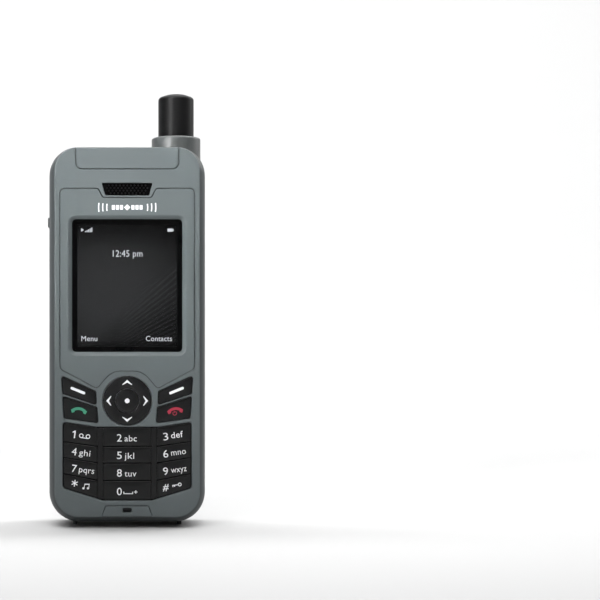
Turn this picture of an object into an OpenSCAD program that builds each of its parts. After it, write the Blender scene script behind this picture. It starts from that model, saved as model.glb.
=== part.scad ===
// A handheld satellite phone with a pull-out antenna, standing on its two base runners.
// X runs to the right seen from the front, Y runs from the front face to the back, Z runs up.
// Outlines are lists of corners [x, z, radius], counter-clockwise seen from the front.

/* [Housing] */
// Width across the sides
body_w = 53; // [52.5:0.25:54]
// Height of the top edge above the surface that the phone stands on
body_top = 128; // [127.5:0.25:129]
// Depth from the front face to the back of the antenna spine
body_d = 27; // [26.8:0.1:27.4]
// Distance of the flat back from the middle plane
back_y = 11.5; // [11.3:0.1:11.8]
// Radius of the two upper corners
top_corner_r = 10; // [8:0.5:11]
// Radius of the two lower corners
bottom_corner_r = 10.5; // [9:0.5:11]
// Width of the rounded side, seen from the front
edge_w = 2.45; // [2:0.05:2.6]
// Depth of the rounded front edge
edge_d = 3.5; // [3:0.25:4]
// Thickness of the housing walls
wall = 1.8; // [1.6:0.1:2]
// Height of the two runners under the base
runner_h = 0.75; // [0.5:0.05:1]

/* [Display] */
// Half the width of the display window
window_x = 18.35; // [17.5:0.05:18.5]
// Height of the window's lower edge
window_z0 = 58.6; // [58:0.1:59.5]
// Height of the window's upper edge
window_z1 = 102.8; // [101:0.1:103]
// Width of the sloping ramp around the window
ramp = 1.2; // [0.8:0.1:1.4]
// Half the width of the display surround
fascia_x = 22.4; // [22:0.1:22.8]
// Height of the surround's upper edge
fascia_z1 = 113; // [112:0.25:114]

/* [Keys] */
// Height of the middle of the round navigation key
nav_z = 42.34; // [42:0.05:42.6]
// Radius of the navigation key
nav_r = 8.08; // [7.8:0.05:8.1]
// Radius of the select key in its middle
select_r = 3.9; // [3.5:0.05:4]
// How far every key travels when it is pressed
key_travel = 0.4; // [0.2:0.05:0.4]
// Gap between neighbouring number keys
key_gap = 0.3; // [0.3:0.05:0.5]
// Gap between a key and the housing
key_clear = 0.25; // [0.2:0.05:0.3]

/* [Antenna] */
// Sideways place of the antenna's axis
antenna_x = 16.8; // [16.5:0.1:17]
// Depth of the antenna's axis
antenna_y = 4.6; // [4.5:0.05:4.6]
// Radius of the antenna
antenna_r = 6.1; // [5.9:0.05:6.1]
// Height of the antenna's tip when it is pushed in
antenna_top = 146.9; // [144:0.5:150]
// Radius of the collar that the antenna slides in
collar_r = 8.4; // [8.2:0.05:8.5]
// Height of the collar's upper edge
collar_top = 131.9; // [131:0.1:133]

/* [Battery] */
// Half the width of the battery pack
battery_x = 19.8; // [19:0.1:19.9]
// Height of the battery pack's upper end
battery_z1 = 61.2; // [58:0.1:61.2]

/* [Hidden] */

$fn = 48;
eps = 0.01;
over = 1;             // how far a cutting shape runs past the surface that it cuts
half_w = body_w / 2;

// depths, from the front face back
face_y = -body_d / 2;
fascia_y = face_y + 1.2;       // back of the display surround, front of the window
window_y = face_y + 1.9;       // back of the window
gasket_y = face_y + 2.1;
cavity_y = face_y + 2.7;       // inside of the front wall
lcd_y = face_y + 5;
cap_y0 = face_y + 0.15;        // front of a key cap
cap_y1 = face_y + 1.3;
pocket_y = face_y + 1.75;      // pocket that the key mat lies in
mat_y0 = face_y + 1.8;
mat_y1 = face_y + 2.4;
plunger_y = face_y + 2.7;
dome_y = face_y + 3.15;
sheet_y0 = face_y + 3.3;
sheet_y1 = face_y + 3.5;
keyboard_y = face_y + 4.3;
frame_y0 = face_y + 5.1;
frame_y1 = face_y + 6.1;
split_y = face_y + 7;          // where the two housing halves meet
seal_gap = 0.2;
board_y0 = face_y + 8;
board_y1 = face_y + 9;
can_y = face_y + 11.1;
floor_y0 = 1;                  // floor of the battery bay
floor_y1 = 2.2;
sim_y = 3.4;
battery_y0 = 3.6;
battery_y1 = 9.6;
cover_y = back_y - 1.3;        // inside of the battery cover

// insets at the sides, below and above: where the flat face begins, and at the foot of its edge
face_inset = [edge_w, 1.25 * edge_w, 1.5];
foot_inset = [0.5, 1.1, 0.95];
widest_y = -1;                 // depth from which the walls lean in towards the front

// rounded edge at the back
rear_edge_w = 3.2;
rear_edge_d = 6;

// window stack
window_lap = 0.55;             // how far the window runs under the surround
window_r = 1.3;
view_lap = 1.75;               // width of the black border of the window

// speaker opening and its mesh
mesh_top = [8.5, 114.8];
mesh_bottom = [7.25, 110.6];
mesh_y0 = face_y + 0.5;
mesh_y1 = face_y + 0.9;

// keys
mat_x = 22.6;
plunger_r = 1.2;
plunger_clear = 0.3;
dome_r = 2;
block_x = 21.2;                // half the width of the number block
column_x = 9.9;                // inner edge of the outer columns
middle_x = 8;                  // half the width of the middle column
row_outer = [35.1, 28.8, 23.5, 18.15, 13.5];
row_inner = [33.45, 27.15, 21.65, 15.85, 10];
row_middle = [33.45, 27.15, 21.6, 15.8, 9.44];
nav_plunger_ring = 7.2;
rocker_r = 5.9;
rocker_y0 = face_y + 1.7;
rocker_y1 = face_y + 2.3;

// screws: four under the battery cover, one at the top of the back
screws = [[-15.5, 7.4], [15.5, 7.4], [-19.8, 56.3], [19.8, 56.3], [-21.2, 118.3]];
screw_r = 0.8;
screw_head_r = 1.6;
boss_r = 2;

// battery bay, its cover and lock
bay_x = 20.9;
bay_z0 = 13.2;
bay_z1 = 62;
battery_z0 = 13.8;
cover_x = 21.9;
cover_z0 = 4.6;
cover_z1 = 65;
lock_z = 9.2;
lock_r = 3.2;
contact_x = 6;

// antenna
guide_z0 = 115.5;              // lower end of the collar's guide
collar_z0 = 121.8;             // where the collar stands on the spine
guide_r = 6.95;
spine_r = body_d / 2 - antenna_y;
spine_z0 = 69.5;               // where the spine has its full radius
tube_z0 = 70.2;
antenna_z0 = 70.8;
antenna_fit = 0.07;
seal_z = collar_top - 2.7;
seal_r = antenna_r + 0.8;

// loudspeaker behind the back wall, and the vibration motor
speaker_at = [-8, 92];
motor_y = board_y1 + 2.1;
motor_z = 18;

// port bay in the left side
port_x = -22.6;                // inner face of the block around the sockets
flap_y0 = -5.2;
flap_y1 = 2.2;
flap_z0 = 84;
flap_z1 = 104.6;
flap_t = 1.2;
flap_gap = 0.2;
flap_x = -half_w + 0.2;        // outer face of the flap
jack_x0 = -23.6;               // mouth of the audio socket
jack_r = 1.8;
jack_y = -1.5;
jack_z = 97.5;
usb_y = -2.9;
usb_z = 89.5;

shell_grey = [0.47, 0.50, 0.51];
side_grey = [0.36, 0.38, 0.39];
key_black = [0.14, 0.15, 0.15];
metal_grey = [0.66, 0.67, 0.69];
board_green = [0.10, 0.32, 0.20];
rubber_black = [0.09, 0.09, 0.10];

// ---- outlines -------------------------------------------------------------

function unit(v) = v / norm(v);
function xz(c) = [c[0], c[1]];

// Arc of radius r that rounds the corner b between a and c, in n steps
function corner_arc(a, b, c, r, n) =
    r <= 0 ? [b] :
    let (u = unit(a - b), v = unit(c - b), half = acos(u * v) / 2,
         centre = b + unit(u + v) * r / sin(half),
         p = b + u * r / tan(half) - centre, q = b + v * r / tan(half) - centre,
         start = atan2(p[1], p[0]),
         turn = atan2(p[0] * q[1] - p[1] * q[0], p * q))
    [for (i = [0:n]) centre + r * [cos(start + turn * i / n), sin(start + turn * i / n)]];

// Points of an outline with its corners rounded
function path(corners, n = 5) =
    let (m = len(corners))
    [for (i = [0:m - 1])
        each corner_arc(xz(corners[(i + m - 1) % m]), xz(corners[i]), xz(corners[(i + 1) % m]),
                        corners[i][2], n)];

// The same outline moved outward by g, or inward where g is negative
function grown(corners, g) =
    let (m = len(corners))
    [for (i = [0:m - 1])
        let (a = xz(corners[(i + m - 1) % m]), b = xz(corners[i]), c = xz(corners[(i + 1) % m]),
             n1 = unit([b[1] - a[1], a[0] - b[0]]), n2 = unit([c[1] - b[1], b[0] - c[0]]),
             p = b + g * (n1 + n2) / (1 + n1 * n2),
             convex = n1[0] * n2[1] - n1[1] * n2[0] > 0)
        [p[0], p[1], max(0, corners[i][2] + (convex ? g : -g))]];

function box_corners(x0, z0, x1, z1, r) = [[x0, z0, r], [x1, z0, r], [x1, z1, r], [x0, z1, r]];
function middle(corners) =
    let (m = len(corners)) [for (k = [0, 1]) [for (c = corners) c[k]] * [for (c = corners) 1] / m];

// Housing outline, drawn in by an inset [sides, below, above]
function body_corners(inset = [0, 0, 0]) =
    let (x = half_w - inset[0], low = runner_h + inset[1], high = body_top - inset[2],
         r0 = bottom_corner_r - inset[0], r1 = top_corner_r - inset[0])
    [[-x, low, r0], [x, low, r0], [x, high, r1], [-x, high, r1]];

// Inset of the leaning walls at depth y
function lean(y) = foot_inset * max(0, min(1, (widest_y - y) / (widest_y - face_y - edge_d)));

// Inside of the front half, clear of its leaning walls
cavity_corners = body_corners([0, 0.9, 0.9]);

// Display surround: notched above for the speaker, cut away below around the navigation key
fascia_low = [[-fascia_x, 53, 2], [-10.03, 46.39, 1.2], [-5.06, 52.2, 6]];
fascia_high = [[fascia_x, fascia_z1, 1.7], [9.7, fascia_z1, 0.6], [8, 109.9, 0.8]];
function flipped(corners) =
    [for (i = [len(corners) - 1:-1:0]) [-corners[i][0], corners[i][1], corners[i][2]]];
fascia_corners = concat(fascia_low, flipped(fascia_low), fascia_high, flipped(fascia_high));

window_corners = box_corners(-window_x, window_z0, window_x, window_z1, window_r);
mesh_corners = [[-mesh_bottom[0], mesh_bottom[1], 0.3], [mesh_bottom[0], mesh_bottom[1], 0.3],
                [mesh_top[0], mesh_top[1], 0.3], [-mesh_top[0], mesh_top[1], 0.3]];
top_insert_corners = box_corners(-17, 119.6, 17, body_top + 4, 2);
chin_corners = [[-8.35, 3.9, 0.3], [8.35, 3.9, 0.3], [7, 7.34, 0.6], [-7, 7.34, 0.6]];
mic_corners = box_corners(-1.5, 5.2, 1.5, 6.75, 0.5);

soft_corners = [[-21.73, 50.53, 0.5], [-21.33, 44.77, 0.5], [-10.35, 41.11, 0.5], [-10.51, 45.44, 0.5]];
call_corners = [[-21.33, 43.77, 0.5], [-20.89, 36.62, 0.5], [-9.85, 35.12, 0.5], [-10.11, 40.11, 0.5]];
block_side = [[-block_x, row_outer[0], 0.8], [-block_x, row_outer[4], 1.2], [-8.15, row_middle[4], 1]];
block_corners = concat(block_side, flipped(block_side), [[10.5, row_inner[0], 1], [-10.5, row_inner[0], 1]]);
mat_side = [[-mat_x, 52.3, 2], [-mat_x, 12.3, 2], [-9, 8.2, 2]];
mat_corners = concat(mat_side, flipped(mat_side));

// Number key in column -1, 0 or 1 and row 0 (upper) to 3
function number_corners(column, row) =
    let (g = key_gap / 2, inner = column == 0 ? row_middle : row_inner,
         outer = column == 0 ? row_middle : row_outer,
         x0 = column == 0 ? -middle_x : column_x, x1 = column == 0 ? middle_x : block_x,
         top = row == 0 ? 0 : g, low = row == 3 ? 0 : g,
         key = [[x0, inner[row + 1] + low, 0.4], [x1, outer[row + 1] + low, 0.4],
                [x1, outer[row] - top, 0.4], [x0, inner[row] - top, 0.4]])
    column < 0 ? flipped(key) : key;

// Middle of every key that presses a dome straight down
press_points = concat(
    [for (column = [-1:1], row = [0:3]) middle(number_corners(column, row))],
    [middle(soft_corners), middle(flipped(soft_corners)), middle(call_corners),
     middle(flipped(call_corners)), [0, nav_z]]);
nav_points = [for (a = [0:90:270]) [nav_plunger_ring * cos(a), nav_z + nav_plunger_ring * sin(a)]];

// ---- building blocks ------------------------------------------------------

// Stands a flat shape up in the X-Z plane, from depth y0 back to depth y1
module plate(y0, y1) translate([0, y1, 0]) rotate([90, 0, 0]) linear_extrude(y1 - y0) children();

// Round bar along Y, from depth y0 to depth y1, at [x, z]
module bar(at, r, y0, y1) plate(y0, y1) translate(at) circle(r);

// Round bar along X
module crossbar(y, z, r, x0, x1) translate([x0, y, z]) rotate([0, 90, 0]) cylinder(r = r, h = x1 - x0);

// Upright bar on the antenna's axis
module column(r, z0, z1) translate([antenna_x, antenna_y, z0]) cylinder(r = r, h = z1 - z0);

// Block between two corners
module block(a, b) translate(a) cube(b - a);

// One key: a cap with a plunger under its middle
module key(corners) {
    plate(cap_y0, cap_y1) polygon(path(corners));
    bar(middle(corners), plunger_r, cap_y1 - eps, plunger_y);
}

// Outer form of the front half, with its rounded edge
module front_form() hull() {
    for (t = [0:30:90])
        let (y = face_y + edge_d * (1 - cos(t)),
             inset = foot_inset + (face_inset - foot_inset) * (1 - sin(t)))
        plate(y, y + eps) polygon(path(body_corners(inset), 8));
    plate(split_y - eps, split_y) polygon(path(body_corners(lean(split_y)), 8));
}

// Outer form of the rear half
module rear_form() hull() {
    plate(split_y + seal_gap, split_y + seal_gap + eps) polygon(path(body_corners(lean(split_y)), 8));
    plate(widest_y, back_y - rear_edge_d) polygon(path(body_corners(), 8));
    for (t = [0:22.5:67.5])
        let (y = back_y - rear_edge_d * (1 - cos(t)), i = rear_edge_w * (1 - sin(t)))
        plate(y - eps, y) polygon(path(body_corners([i, i, i]), 8));
}

// ---- housing --------------------------------------------------------------

module front_housing() color(shell_grey) difference() {
    union() {
        difference() {
            front_form();
            plate(cavity_y, split_y + over) polygon(path(grown(cavity_corners, -wall)));
        }
        for (s = screws) bar(s, boss_r, cavity_y - eps, split_y);
    }
    for (s = screws) bar(s, screw_r + 0.05, cavity_y + 0.5, split_y + over);
    // display surround, window and view
    plate(face_y - over, fascia_y) polygon(path(grown(fascia_corners, 0.1)));
    plate(face_y, gasket_y) polygon(path(grown(window_corners, window_lap + 0.05)));
    plate(face_y, cavity_y + over) polygon(path(grown(window_corners, -view_lap + 0.2)));
    // speaker mesh on its ledge
    plate(face_y - over, mesh_y1) polygon(path(mesh_corners));
    plate(face_y, cavity_y + over) polygon(path(grown(mesh_corners, -0.6)));
    // inserts at the top edge and the chin
    top_insert_form(0.1);
    plate(face_y - over, face_y + 0.9) polygon(path(grown(chin_corners, 0.1)));
    plate(face_y, cavity_y + over) polygon(path(mic_corners));
    // keys and the mat behind them
    plate(pocket_y, cavity_y + eps) polygon(path(mat_corners));
    plate(face_y - over, pocket_y + over) polygon(path(grown(block_corners, key_clear)));
    bar([0, nav_z], nav_r + key_clear, face_y - over, pocket_y + over);
    for (side = [0, 1]) mirror([side, 0, 0]) plate(face_y - over, pocket_y + over) {
        polygon(path(grown(soft_corners, key_clear)));
        polygon(path(grown(call_corners, key_clear)));
    }
}

// Panel in the face that folds over the top edge
module top_insert_form(g) {
    plate(face_y - g, face_y + 1.2) polygon(path(grown(top_insert_corners, g)));
    block([-17 - g, face_y - over, body_top - 2.1 - g], [17 + g, face_y + 5.5 + g, body_top + over]);
}

module top_insert() color(shell_grey) intersection() {
    front_form();
    top_insert_form(0);
}

module chin_insert() color(shell_grey) difference() {
    intersection() {
        front_form();
        plate(face_y, face_y + 0.9) polygon(path(chin_corners));
    }
    plate(face_y - over, face_y + over) polygon(path(mic_corners));
}

module fascia_panel() color(shell_grey) difference() {
    plate(face_y, fascia_y) polygon(path(grown(fascia_corners, -0.1)));
    hull() {
        plate(face_y - eps, face_y) polygon(path(grown(window_corners, ramp)));
        plate(fascia_y, fascia_y + eps) polygon(path(window_corners));
    }
}

module display_window() color([0.06, 0.06, 0.07])
    plate(fascia_y, window_y) polygon(path(grown(window_corners, window_lap)));

module window_gasket() color(rubber_black) plate(window_y, gasket_y) difference() {
    polygon(path(grown(window_corners, window_lap)));
    polygon(path(grown(window_corners, -view_lap)));
}

module earpiece_mesh() color(key_black) difference() {
    plate(mesh_y0, mesh_y1) polygon(path(grown(mesh_corners, -0.05)));
    for (row = [0:2], column = [-5:5])
        bar([(column + (row % 2) / 2) * 1.2, mesh_bottom[1] + 1.1 + row], 0.3,
            mesh_y0 - over, mesh_y1 + over, $fn = 16);
}

module rear_housing() color(side_grey) difference() {
    union() {
        difference() {
            union() {
                rear_form();
                column(spine_r, spine_z0, collar_z0);
                translate([antenna_x, antenna_y, spine_z0 - 3])
                    cylinder(r1 = 6.5, r2 = spine_r, h = 3 + eps);
            }
            difference() {
                union() {
                    plate(split_y, floor_y0) polygon(path(grown(body_corners(), -wall)));
                    block([-half_w + wall, split_y, bay_z1 + 3.2], [7.2, back_y - wall, 116]);
                    block([-half_w + 8, split_y, 110], [7.2, back_y - wall, body_top - 4]);
                }
                column(collar_r, bay_z1, body_top + over);
            }
        }
        for (s = screws) bar(s, boss_r + 0.4, split_y + seal_gap, floor_y0 + eps);
        bar(screws[4], boss_r + 0.9, split_y + seal_gap, back_y - 1);
        block([-half_w + wall - eps, -5.9, 81.5], [port_x, 3.2, 106.5]);
    }
    for (s = screws) {
        bar(s, screw_r + 0.2, split_y, floor_y1 + over);
        bar(s, screw_head_r + 0.2, floor_y1, back_y + over);
    }
    // battery bay and the recess that its cover lies in
    block([-bay_x, floor_y1, bay_z0], [bay_x, back_y + over, bay_z1]);
    plate(cover_y, back_y + over) polygon(path(grown(cover_corners, 0.15)));
    block([-contact_x - 0.2, battery_y0 - 0.3, bay_z1 - over], [contact_x + 0.2, 7.2, bay_z1 + 3.2 + over]);
    block([-5.2, floor_y0 - over, 46.8], [5.2, floor_y1 + over, 55.2]);
    // keyhole and well of the cover lock
    plate(back_y - 2.5, cover_y + over) translate([0, lock_z]) {
        square([6.6, 2.5], center = true);
        circle(1.8);
    }
    bar([0, lock_z], 3.7, back_y - 4.5, back_y - 2.5);
    // antenna bore and the seat of its collar
    column(guide_r, tube_z0, collar_z0 + over);
    column(collar_r, collar_z0, body_top + over);
    // port bay: recess of the flap, then the two sockets
    flap_form(-half_w - over, -half_w + flap_t + 0.1, flap_gap);
    crossbar(jack_y, jack_z, 2.7, -half_w, -22);
    block([-half_w, usb_y - 1.5, usb_z - 3.8], [-22, usb_y + 1.5, usb_z + 3.8]);
    // sound holes of the loudspeaker
    for (row = [-2:2], column = [-2:2])
        bar(speaker_at + 2.2 * [column, row], 0.6, back_y - wall - over, back_y + over);
}

module antenna_collar() color(side_grey) translate([antenna_x, antenna_y, 0]) difference() {
    rotate_extrude() polygon(path([
        [antenna_r + antenna_fit, guide_z0, 0], [guide_r, guide_z0, 0], [guide_r, collar_z0, 0],
        [collar_r, collar_z0, 0], [collar_r, collar_top, 1], [antenna_r + antenna_fit, collar_top, 0.4]]));
    translate([0, 0, seal_z]) cylinder(r = seal_r, h = 1);
}

module antenna_seal() color(rubber_black) translate([antenna_x, antenna_y, seal_z]) difference() {
    cylinder(r = seal_r, h = 1);
    translate([0, 0, -over]) cylinder(r = antenna_r + 0.06, h = 1 + 2 * over);
}

module base_runners() color(rubber_black) difference() {
    for (side = [-1, 1])
        block([side * 17.7 - 0.72, -2.6, 0], [side * 17.7 + 0.72, 6.5, runner_h + 0.75]);
    rear_form();
}

module housing_seal() color(rubber_black) plate(split_y, split_y + seal_gap) difference() {
    polygon(path(grown(body_corners(lean(split_y)), -0.4)));
    polygon(path(grown(body_corners(lean(split_y)), -1.1)));
}

module housing_screws() color(metal_grey) for (s = screws) {
    bar(s, screw_r, cavity_y + 1, floor_y1 + eps);
    difference() {
        bar(s, screw_head_r, floor_y1, floor_y1 + 1);
        plate(floor_y1 + 0.5, floor_y1 + over + 1) translate(s) {
            square([1.8, 0.5], center = true);
            square([0.5, 1.8], center = true);
        }
    }
}

module mid_frame() color(metal_grey) plate(frame_y0, frame_y1) difference() {
    polygon(path(grown(cavity_corners, -wall - 0.3)));
    for (s = screws) translate(s) circle(boss_r + 0.3);
    polygon(path(box_corners(-15, 66, 15, 96, 3)));
}

// ---- display, sound and electronics ----------------------------------------

module lcd_module() color([0.20, 0.22, 0.25])
    block([-17.6, cavity_y + 0.1, window_z0 + 0.3], [17.6, lcd_y, window_z1 + 2.2]);

module earpiece_speaker() color(metal_grey)
    plate(cavity_y + 0.1, lcd_y) polygon(path(box_corners(-7.2, 109.4, 7.2, 115.8, 2)));

module microphone() color(metal_grey) bar([0, 6], 2, cavity_y + 0.1, frame_y0);

module loudspeaker() color(metal_grey) {
    bar(speaker_at, 8, back_y - 5.4, back_y - wall - 0.3);
    bar(speaker_at, 5, back_y - 6.8, back_y - 5.4 + eps);
}

module keymat() color(rubber_black) {
    plate(mat_y0, mat_y1) difference() {
        polygon(path(grown(mat_corners, -0.1)));
        for (p = press_points) translate(p) circle(plunger_r + plunger_clear);
        translate([0, nav_z]) circle(nav_r + 0.5);
    }
    // ribs between the three columns of number keys
    for (side = [-1, 1])
        block([side * 8.95 - 0.7, face_y + 0.4, row_inner[4] + 0.4],
              [side * 8.95 + 0.7, mat_y0 + eps, row_inner[0] - 0.3]);
}

module dome_sheet() color(metal_grey) {
    plate(sheet_y0, sheet_y1) polygon(path(grown(mat_corners, -0.6)));
    for (p = concat(press_points, nav_points))
        bar(p, p[1] > nav_z - 9 && abs(p[0]) < 9 ? 1.6 : dome_r, dome_y, sheet_y0 + eps);
}

module keypad_board() color(board_green) plate(sheet_y1, keyboard_y) polygon(path(grown(mat_corners, -0.6)));

module main_board() color(board_green) plate(board_y0, board_y1) difference() {
    polygon(path(grown(body_corners(), -wall - 0.4)));
    for (s = screws) translate(s) circle(boss_r + 1.2);
    translate([-half_w, 81.3]) square([port_x + half_w + 0.2, 25.4]);
}

// Shield can, open towards the board, over the area x0..x1, z0..z1
module can(x0, z0, x1, z1) difference() {
    block([x0, board_y1, z0], [x1, can_y, z1]);
    block([x0 + 0.3, board_y1 - over, z0 + 0.3], [x1 - 0.3, can_y - 0.3, z1 - 0.3]);
}

module shield_cans() color(metal_grey) {
    can(-21, 26, -7, 52);
    can(7, 26, 21, 52);
    can(-22, 66, 5, 80);
    can(-9, 86, 5, 106);
}

module gps_patch() color([0.86, 0.82, 0.72]) {
    block([-15, board_y1, 109], [-3, board_y1 + 4, 121]);
    block([-13.5, board_y1 + 4 - eps, 110.5], [-4.5, board_y1 + 4.2, 119.5]);
}

module sim_holder() color(metal_grey) {
    difference() {
        block([-14.2, floor_y1, 42.5], [14.2, sim_y, 59.5]);
        block([-12.7, floor_y1 + 0.2, 43.3], [12.7, sim_y + over, 59.5 + over]);
    }
    block([-5, board_y1, 47], [5, floor_y1 + eps, 55]);
}

module sim_card() color([0.90, 0.78, 0.45])
    plate(floor_y1 + 0.3, floor_y1 + 1.1)
        polygon([[-12.5, 43.5], [12.5, 43.5], [12.5, 58.5], [-9.5, 58.5], [-12.5, 55.5]]);

module battery_pack() color([0.13, 0.14, 0.16]) plate(battery_y0, battery_y1)
    polygon(path(box_corners(-battery_x, battery_z0, battery_x, battery_z1, 2)));

module battery_contacts() color([0.85, 0.70, 0.35]) {
    block([-contact_x, battery_y0, bay_z1 + 0.5], [contact_x, 7, bay_z1 + 6]);
    for (x = [-4.5:3:4.5])
        block([x - 0.6, battery_y0 + 1, battery_z1 + 0.1], [x + 0.6, battery_y0 + 2.4, bay_z1 + 0.5 + eps]);
}

module usb_port() color(metal_grey) {
    difference() {
        block([-half_w + 1.3, usb_y - 1.4, usb_z - 3.7], [-19.6, usb_y + 1.4, usb_z + 3.7]);
        block([-half_w, usb_y - 1, usb_z - 3.3], [-20.2, usb_y + 1, usb_z + 3.3]);
    }
    block([-24.2, usb_y + 0.2, usb_z - 1.9], [-20.2 + eps, usb_y + 0.7, usb_z + 1.9]);
}

module audio_jack() color(rubber_black) difference() {
    union() {
        crossbar(jack_y, jack_z, 2.6, jack_x0, port_x + 0.1);
        block([port_x + eps, jack_y - 2.9, jack_z - 2.9], [-11.2, jack_y + 2.9, jack_z + 2.9]);
    }
    crossbar(jack_y, jack_z, jack_r, -half_w, -12.7);
}

module vibration_motor() color(metal_grey) difference() {
    crossbar(motor_y, motor_z, 2, -19, -9.2);
    crossbar(motor_y, motor_z, 0.45, -12, -9);
}

module vibration_weight() color([0.75, 0.73, 0.68]) {
    crossbar(motor_y, motor_z, 0.4, -11.8, -5.2);
    difference() {
        crossbar(motor_y, motor_z, 1.9, -8.6, -5.2);
        block([-9, motor_y - 3, motor_z + 0.35], [-5, motor_y + 3, motor_z + 3]);
    }
}

// ---- antenna ----------------------------------------------------------------

module antenna_radome() color([0.17, 0.17, 0.18]) translate([antenna_x, antenna_y, 0]) difference() {
    rotate_extrude() polygon(path([
        [0, antenna_z0 + 2, 0], [antenna_r, antenna_z0 + 2, 0], [antenna_r, antenna_top - 1.3, 1.1],
        [3.2, antenna_top - 0.15, 5], [0, antenna_top, 0]]));
    translate([0, 0, antenna_z0]) cylinder(r = 5, h = antenna_top - antenna_z0 - 3);
}

module antenna_stop() color([0.17, 0.17, 0.18]) {
    column(guide_r - 0.3, antenna_z0, antenna_z0 + 2);
    column(4.98, antenna_z0 + 2 - eps, antenna_z0 + 6);
}

module antenna_helix() color([0.80, 0.50, 0.28]) {
    difference() {
        column(4.2, antenna_z0 + 7, antenna_top - 4);
        column(3.6, antenna_z0 + 6, antenna_top - 3);
    }
    translate([antenna_x, antenna_y, antenna_z0 + 8])
        linear_extrude(antenna_top - antenna_z0 - 13, twist = -300, slices = 24, $fn = 4)
            for (a = [0:90:270]) rotate(a) translate([4.45, 0]) square([0.4, 1.1], center = true);
}

// ---- battery cover ------------------------------------------------------------

cover_corners = [[-cover_x, cover_z0, 6.5], [cover_x, cover_z0, 6.5],
                 [cover_x, cover_z1, 4], [-cover_x, cover_z1, 4]];

module battery_cover() color(side_grey) difference() {
    plate(cover_y, back_y) polygon(path(cover_corners));
    bar([0, lock_z], lock_r + 0.07, cover_y - over, back_y + over);
}

module cover_seal() color(rubber_black) plate(cover_y - 0.5, cover_y) difference() {
    polygon(path(box_corners(-bay_x + 0.2, bay_z0 + 0.2, bay_x - 0.2, bay_z1 - 0.2, 1)));
    polygon(path(box_corners(-bay_x + 1, bay_z0 + 1, bay_x - 1, bay_z1 - 1, 1)));
}

module cover_lock() color(metal_grey) {
    difference() {
        bar([0, lock_z], lock_r, cover_y + 0.1, back_y - 0.1);
        plate(back_y - 0.8, back_y) translate([0, lock_z]) square([5, 1], center = true);
    }
    bar([0, lock_z], 1.5, back_y - 4.1, cover_y + 0.1 + eps);
    plate(back_y - 4.1, back_y - 2.8) translate([0, lock_z]) square([5.8, 1.8], center = true);
}

// ---- port flap ------------------------------------------------------------------

// Flap outline between depths x0 and x1 from the side face, grown by g
module flap_form(x0, x1, g) translate([x0, 0, 0]) rotate([90, 0, 90]) linear_extrude(x1 - x0)
    polygon(path(grown([[flap_y0, flap_z0 - flap_t / 2, 0], [flap_y1, flap_z0 - flap_t / 2, 0],
                        [flap_y1, flap_z1, 2.2], [flap_y0, flap_z1, 2.2]], g)));

module port_flap() color(side_grey) {
    intersection() {
        flap_form(flap_x, -half_w + flap_t, 0);
        block([-half_w, flap_y0, flap_z0], [0, flap_y1, flap_z1]);
    }
    translate([-half_w + flap_t / 2, flap_y0, flap_z0]) rotate([-90, 0, 0])
        cylinder(r = flap_t / 2, h = flap_y1 - flap_y0);
    // finger tab, and the plugs that seal the two sockets
    block([-half_w - 0.35, flap_y0 + 1.2, 100.7], [flap_x + eps, flap_y1 - 1.2, 104]);
    crossbar(jack_y, jack_z, 2.2, -half_w + flap_t - eps, jack_x0 - 0.2);
    block([-half_w + flap_t - eps, usb_y - 0.5, usb_z - 2.4],
          [-half_w + flap_t + 0.8, usb_y + 0.5, usb_z + 2.2]);
}

// ---- keys -------------------------------------------------------------------------

module nav_rocker() color(rubber_black) plate(rocker_y0, rocker_y1) translate([0, nav_z]) difference() {
    circle(rocker_r);
    circle(select_r + 0.45);
}

module nav_ring() color(key_black) {
    plate(face_y + 0.1, face_y + 1.25) translate([0, nav_z]) difference() {
        circle(nav_r, $fn = 96);
        circle(select_r + 0.25);
    }
    for (p = nav_points) bar(p, 0.7, face_y + 1.25 - eps, face_y + 2.65);
}

module select_key() color(key_black) {
    bar([0, nav_z], select_r, face_y + 0.2, cap_y1);
    bar([0, nav_z], plunger_r, cap_y1 - eps, plunger_y);
}

module soft_key_left() color(key_black) key(soft_corners);
module soft_key_right() color(key_black) key(flipped(soft_corners));
module call_key() color(key_black) key(call_corners);
module end_key() color(key_black) key(flipped(call_corners));

module key_1() color(key_black) key(number_corners(-1, 0));
module key_2() color(key_black) key(number_corners(0, 0));
module key_3() color(key_black) key(number_corners(1, 0));
module key_4() color(key_black) key(number_corners(-1, 1));
module key_5() color(key_black) key(number_corners(0, 1));
module key_6() color(key_black) key(number_corners(1, 1));
module key_7() color(key_black) key(number_corners(-1, 2));
module key_8() color(key_black) key(number_corners(0, 2));
module key_9() color(key_black) key(number_corners(1, 2));
module key_star() color(key_black) key(number_corners(-1, 3));
module key_0() color(key_black) key(number_corners(0, 3));
module key_hash() color(key_black) key(number_corners(1, 3));

front_housing();
fascia_panel();
display_window();
window_gasket();
earpiece_mesh();
top_insert();
chin_insert();
rear_housing();
antenna_collar();
antenna_seal();
base_runners();
housing_seal();
housing_screws();
mid_frame();
lcd_module();
earpiece_speaker();
loudspeaker();
microphone();
keymat();
dome_sheet();
keypad_board();
main_board();
shield_cans();
gps_patch();
sim_holder();
sim_card();
battery_pack();
battery_contacts();
usb_port();
audio_jack();
vibration_motor();
antenna_radome();
antenna_helix();
antenna_stop();
vibration_weight();
battery_cover();
cover_seal();
cover_lock();
port_flap();
nav_rocker();
nav_ring();
select_key();
soft_key_left();
soft_key_right();
call_key();
end_key();
key_1();
key_2();
key_3();
key_4();
key_5();
key_6();
key_7();
key_8();
key_9();
key_star();
key_0();
key_hash();
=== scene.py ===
from math import acos, atan2, cos, floor, pi, radians, sin, tan

import bmesh
import bpy
import numpy as np
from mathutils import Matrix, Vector
from mathutils.bvhtree import BVHTree


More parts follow.
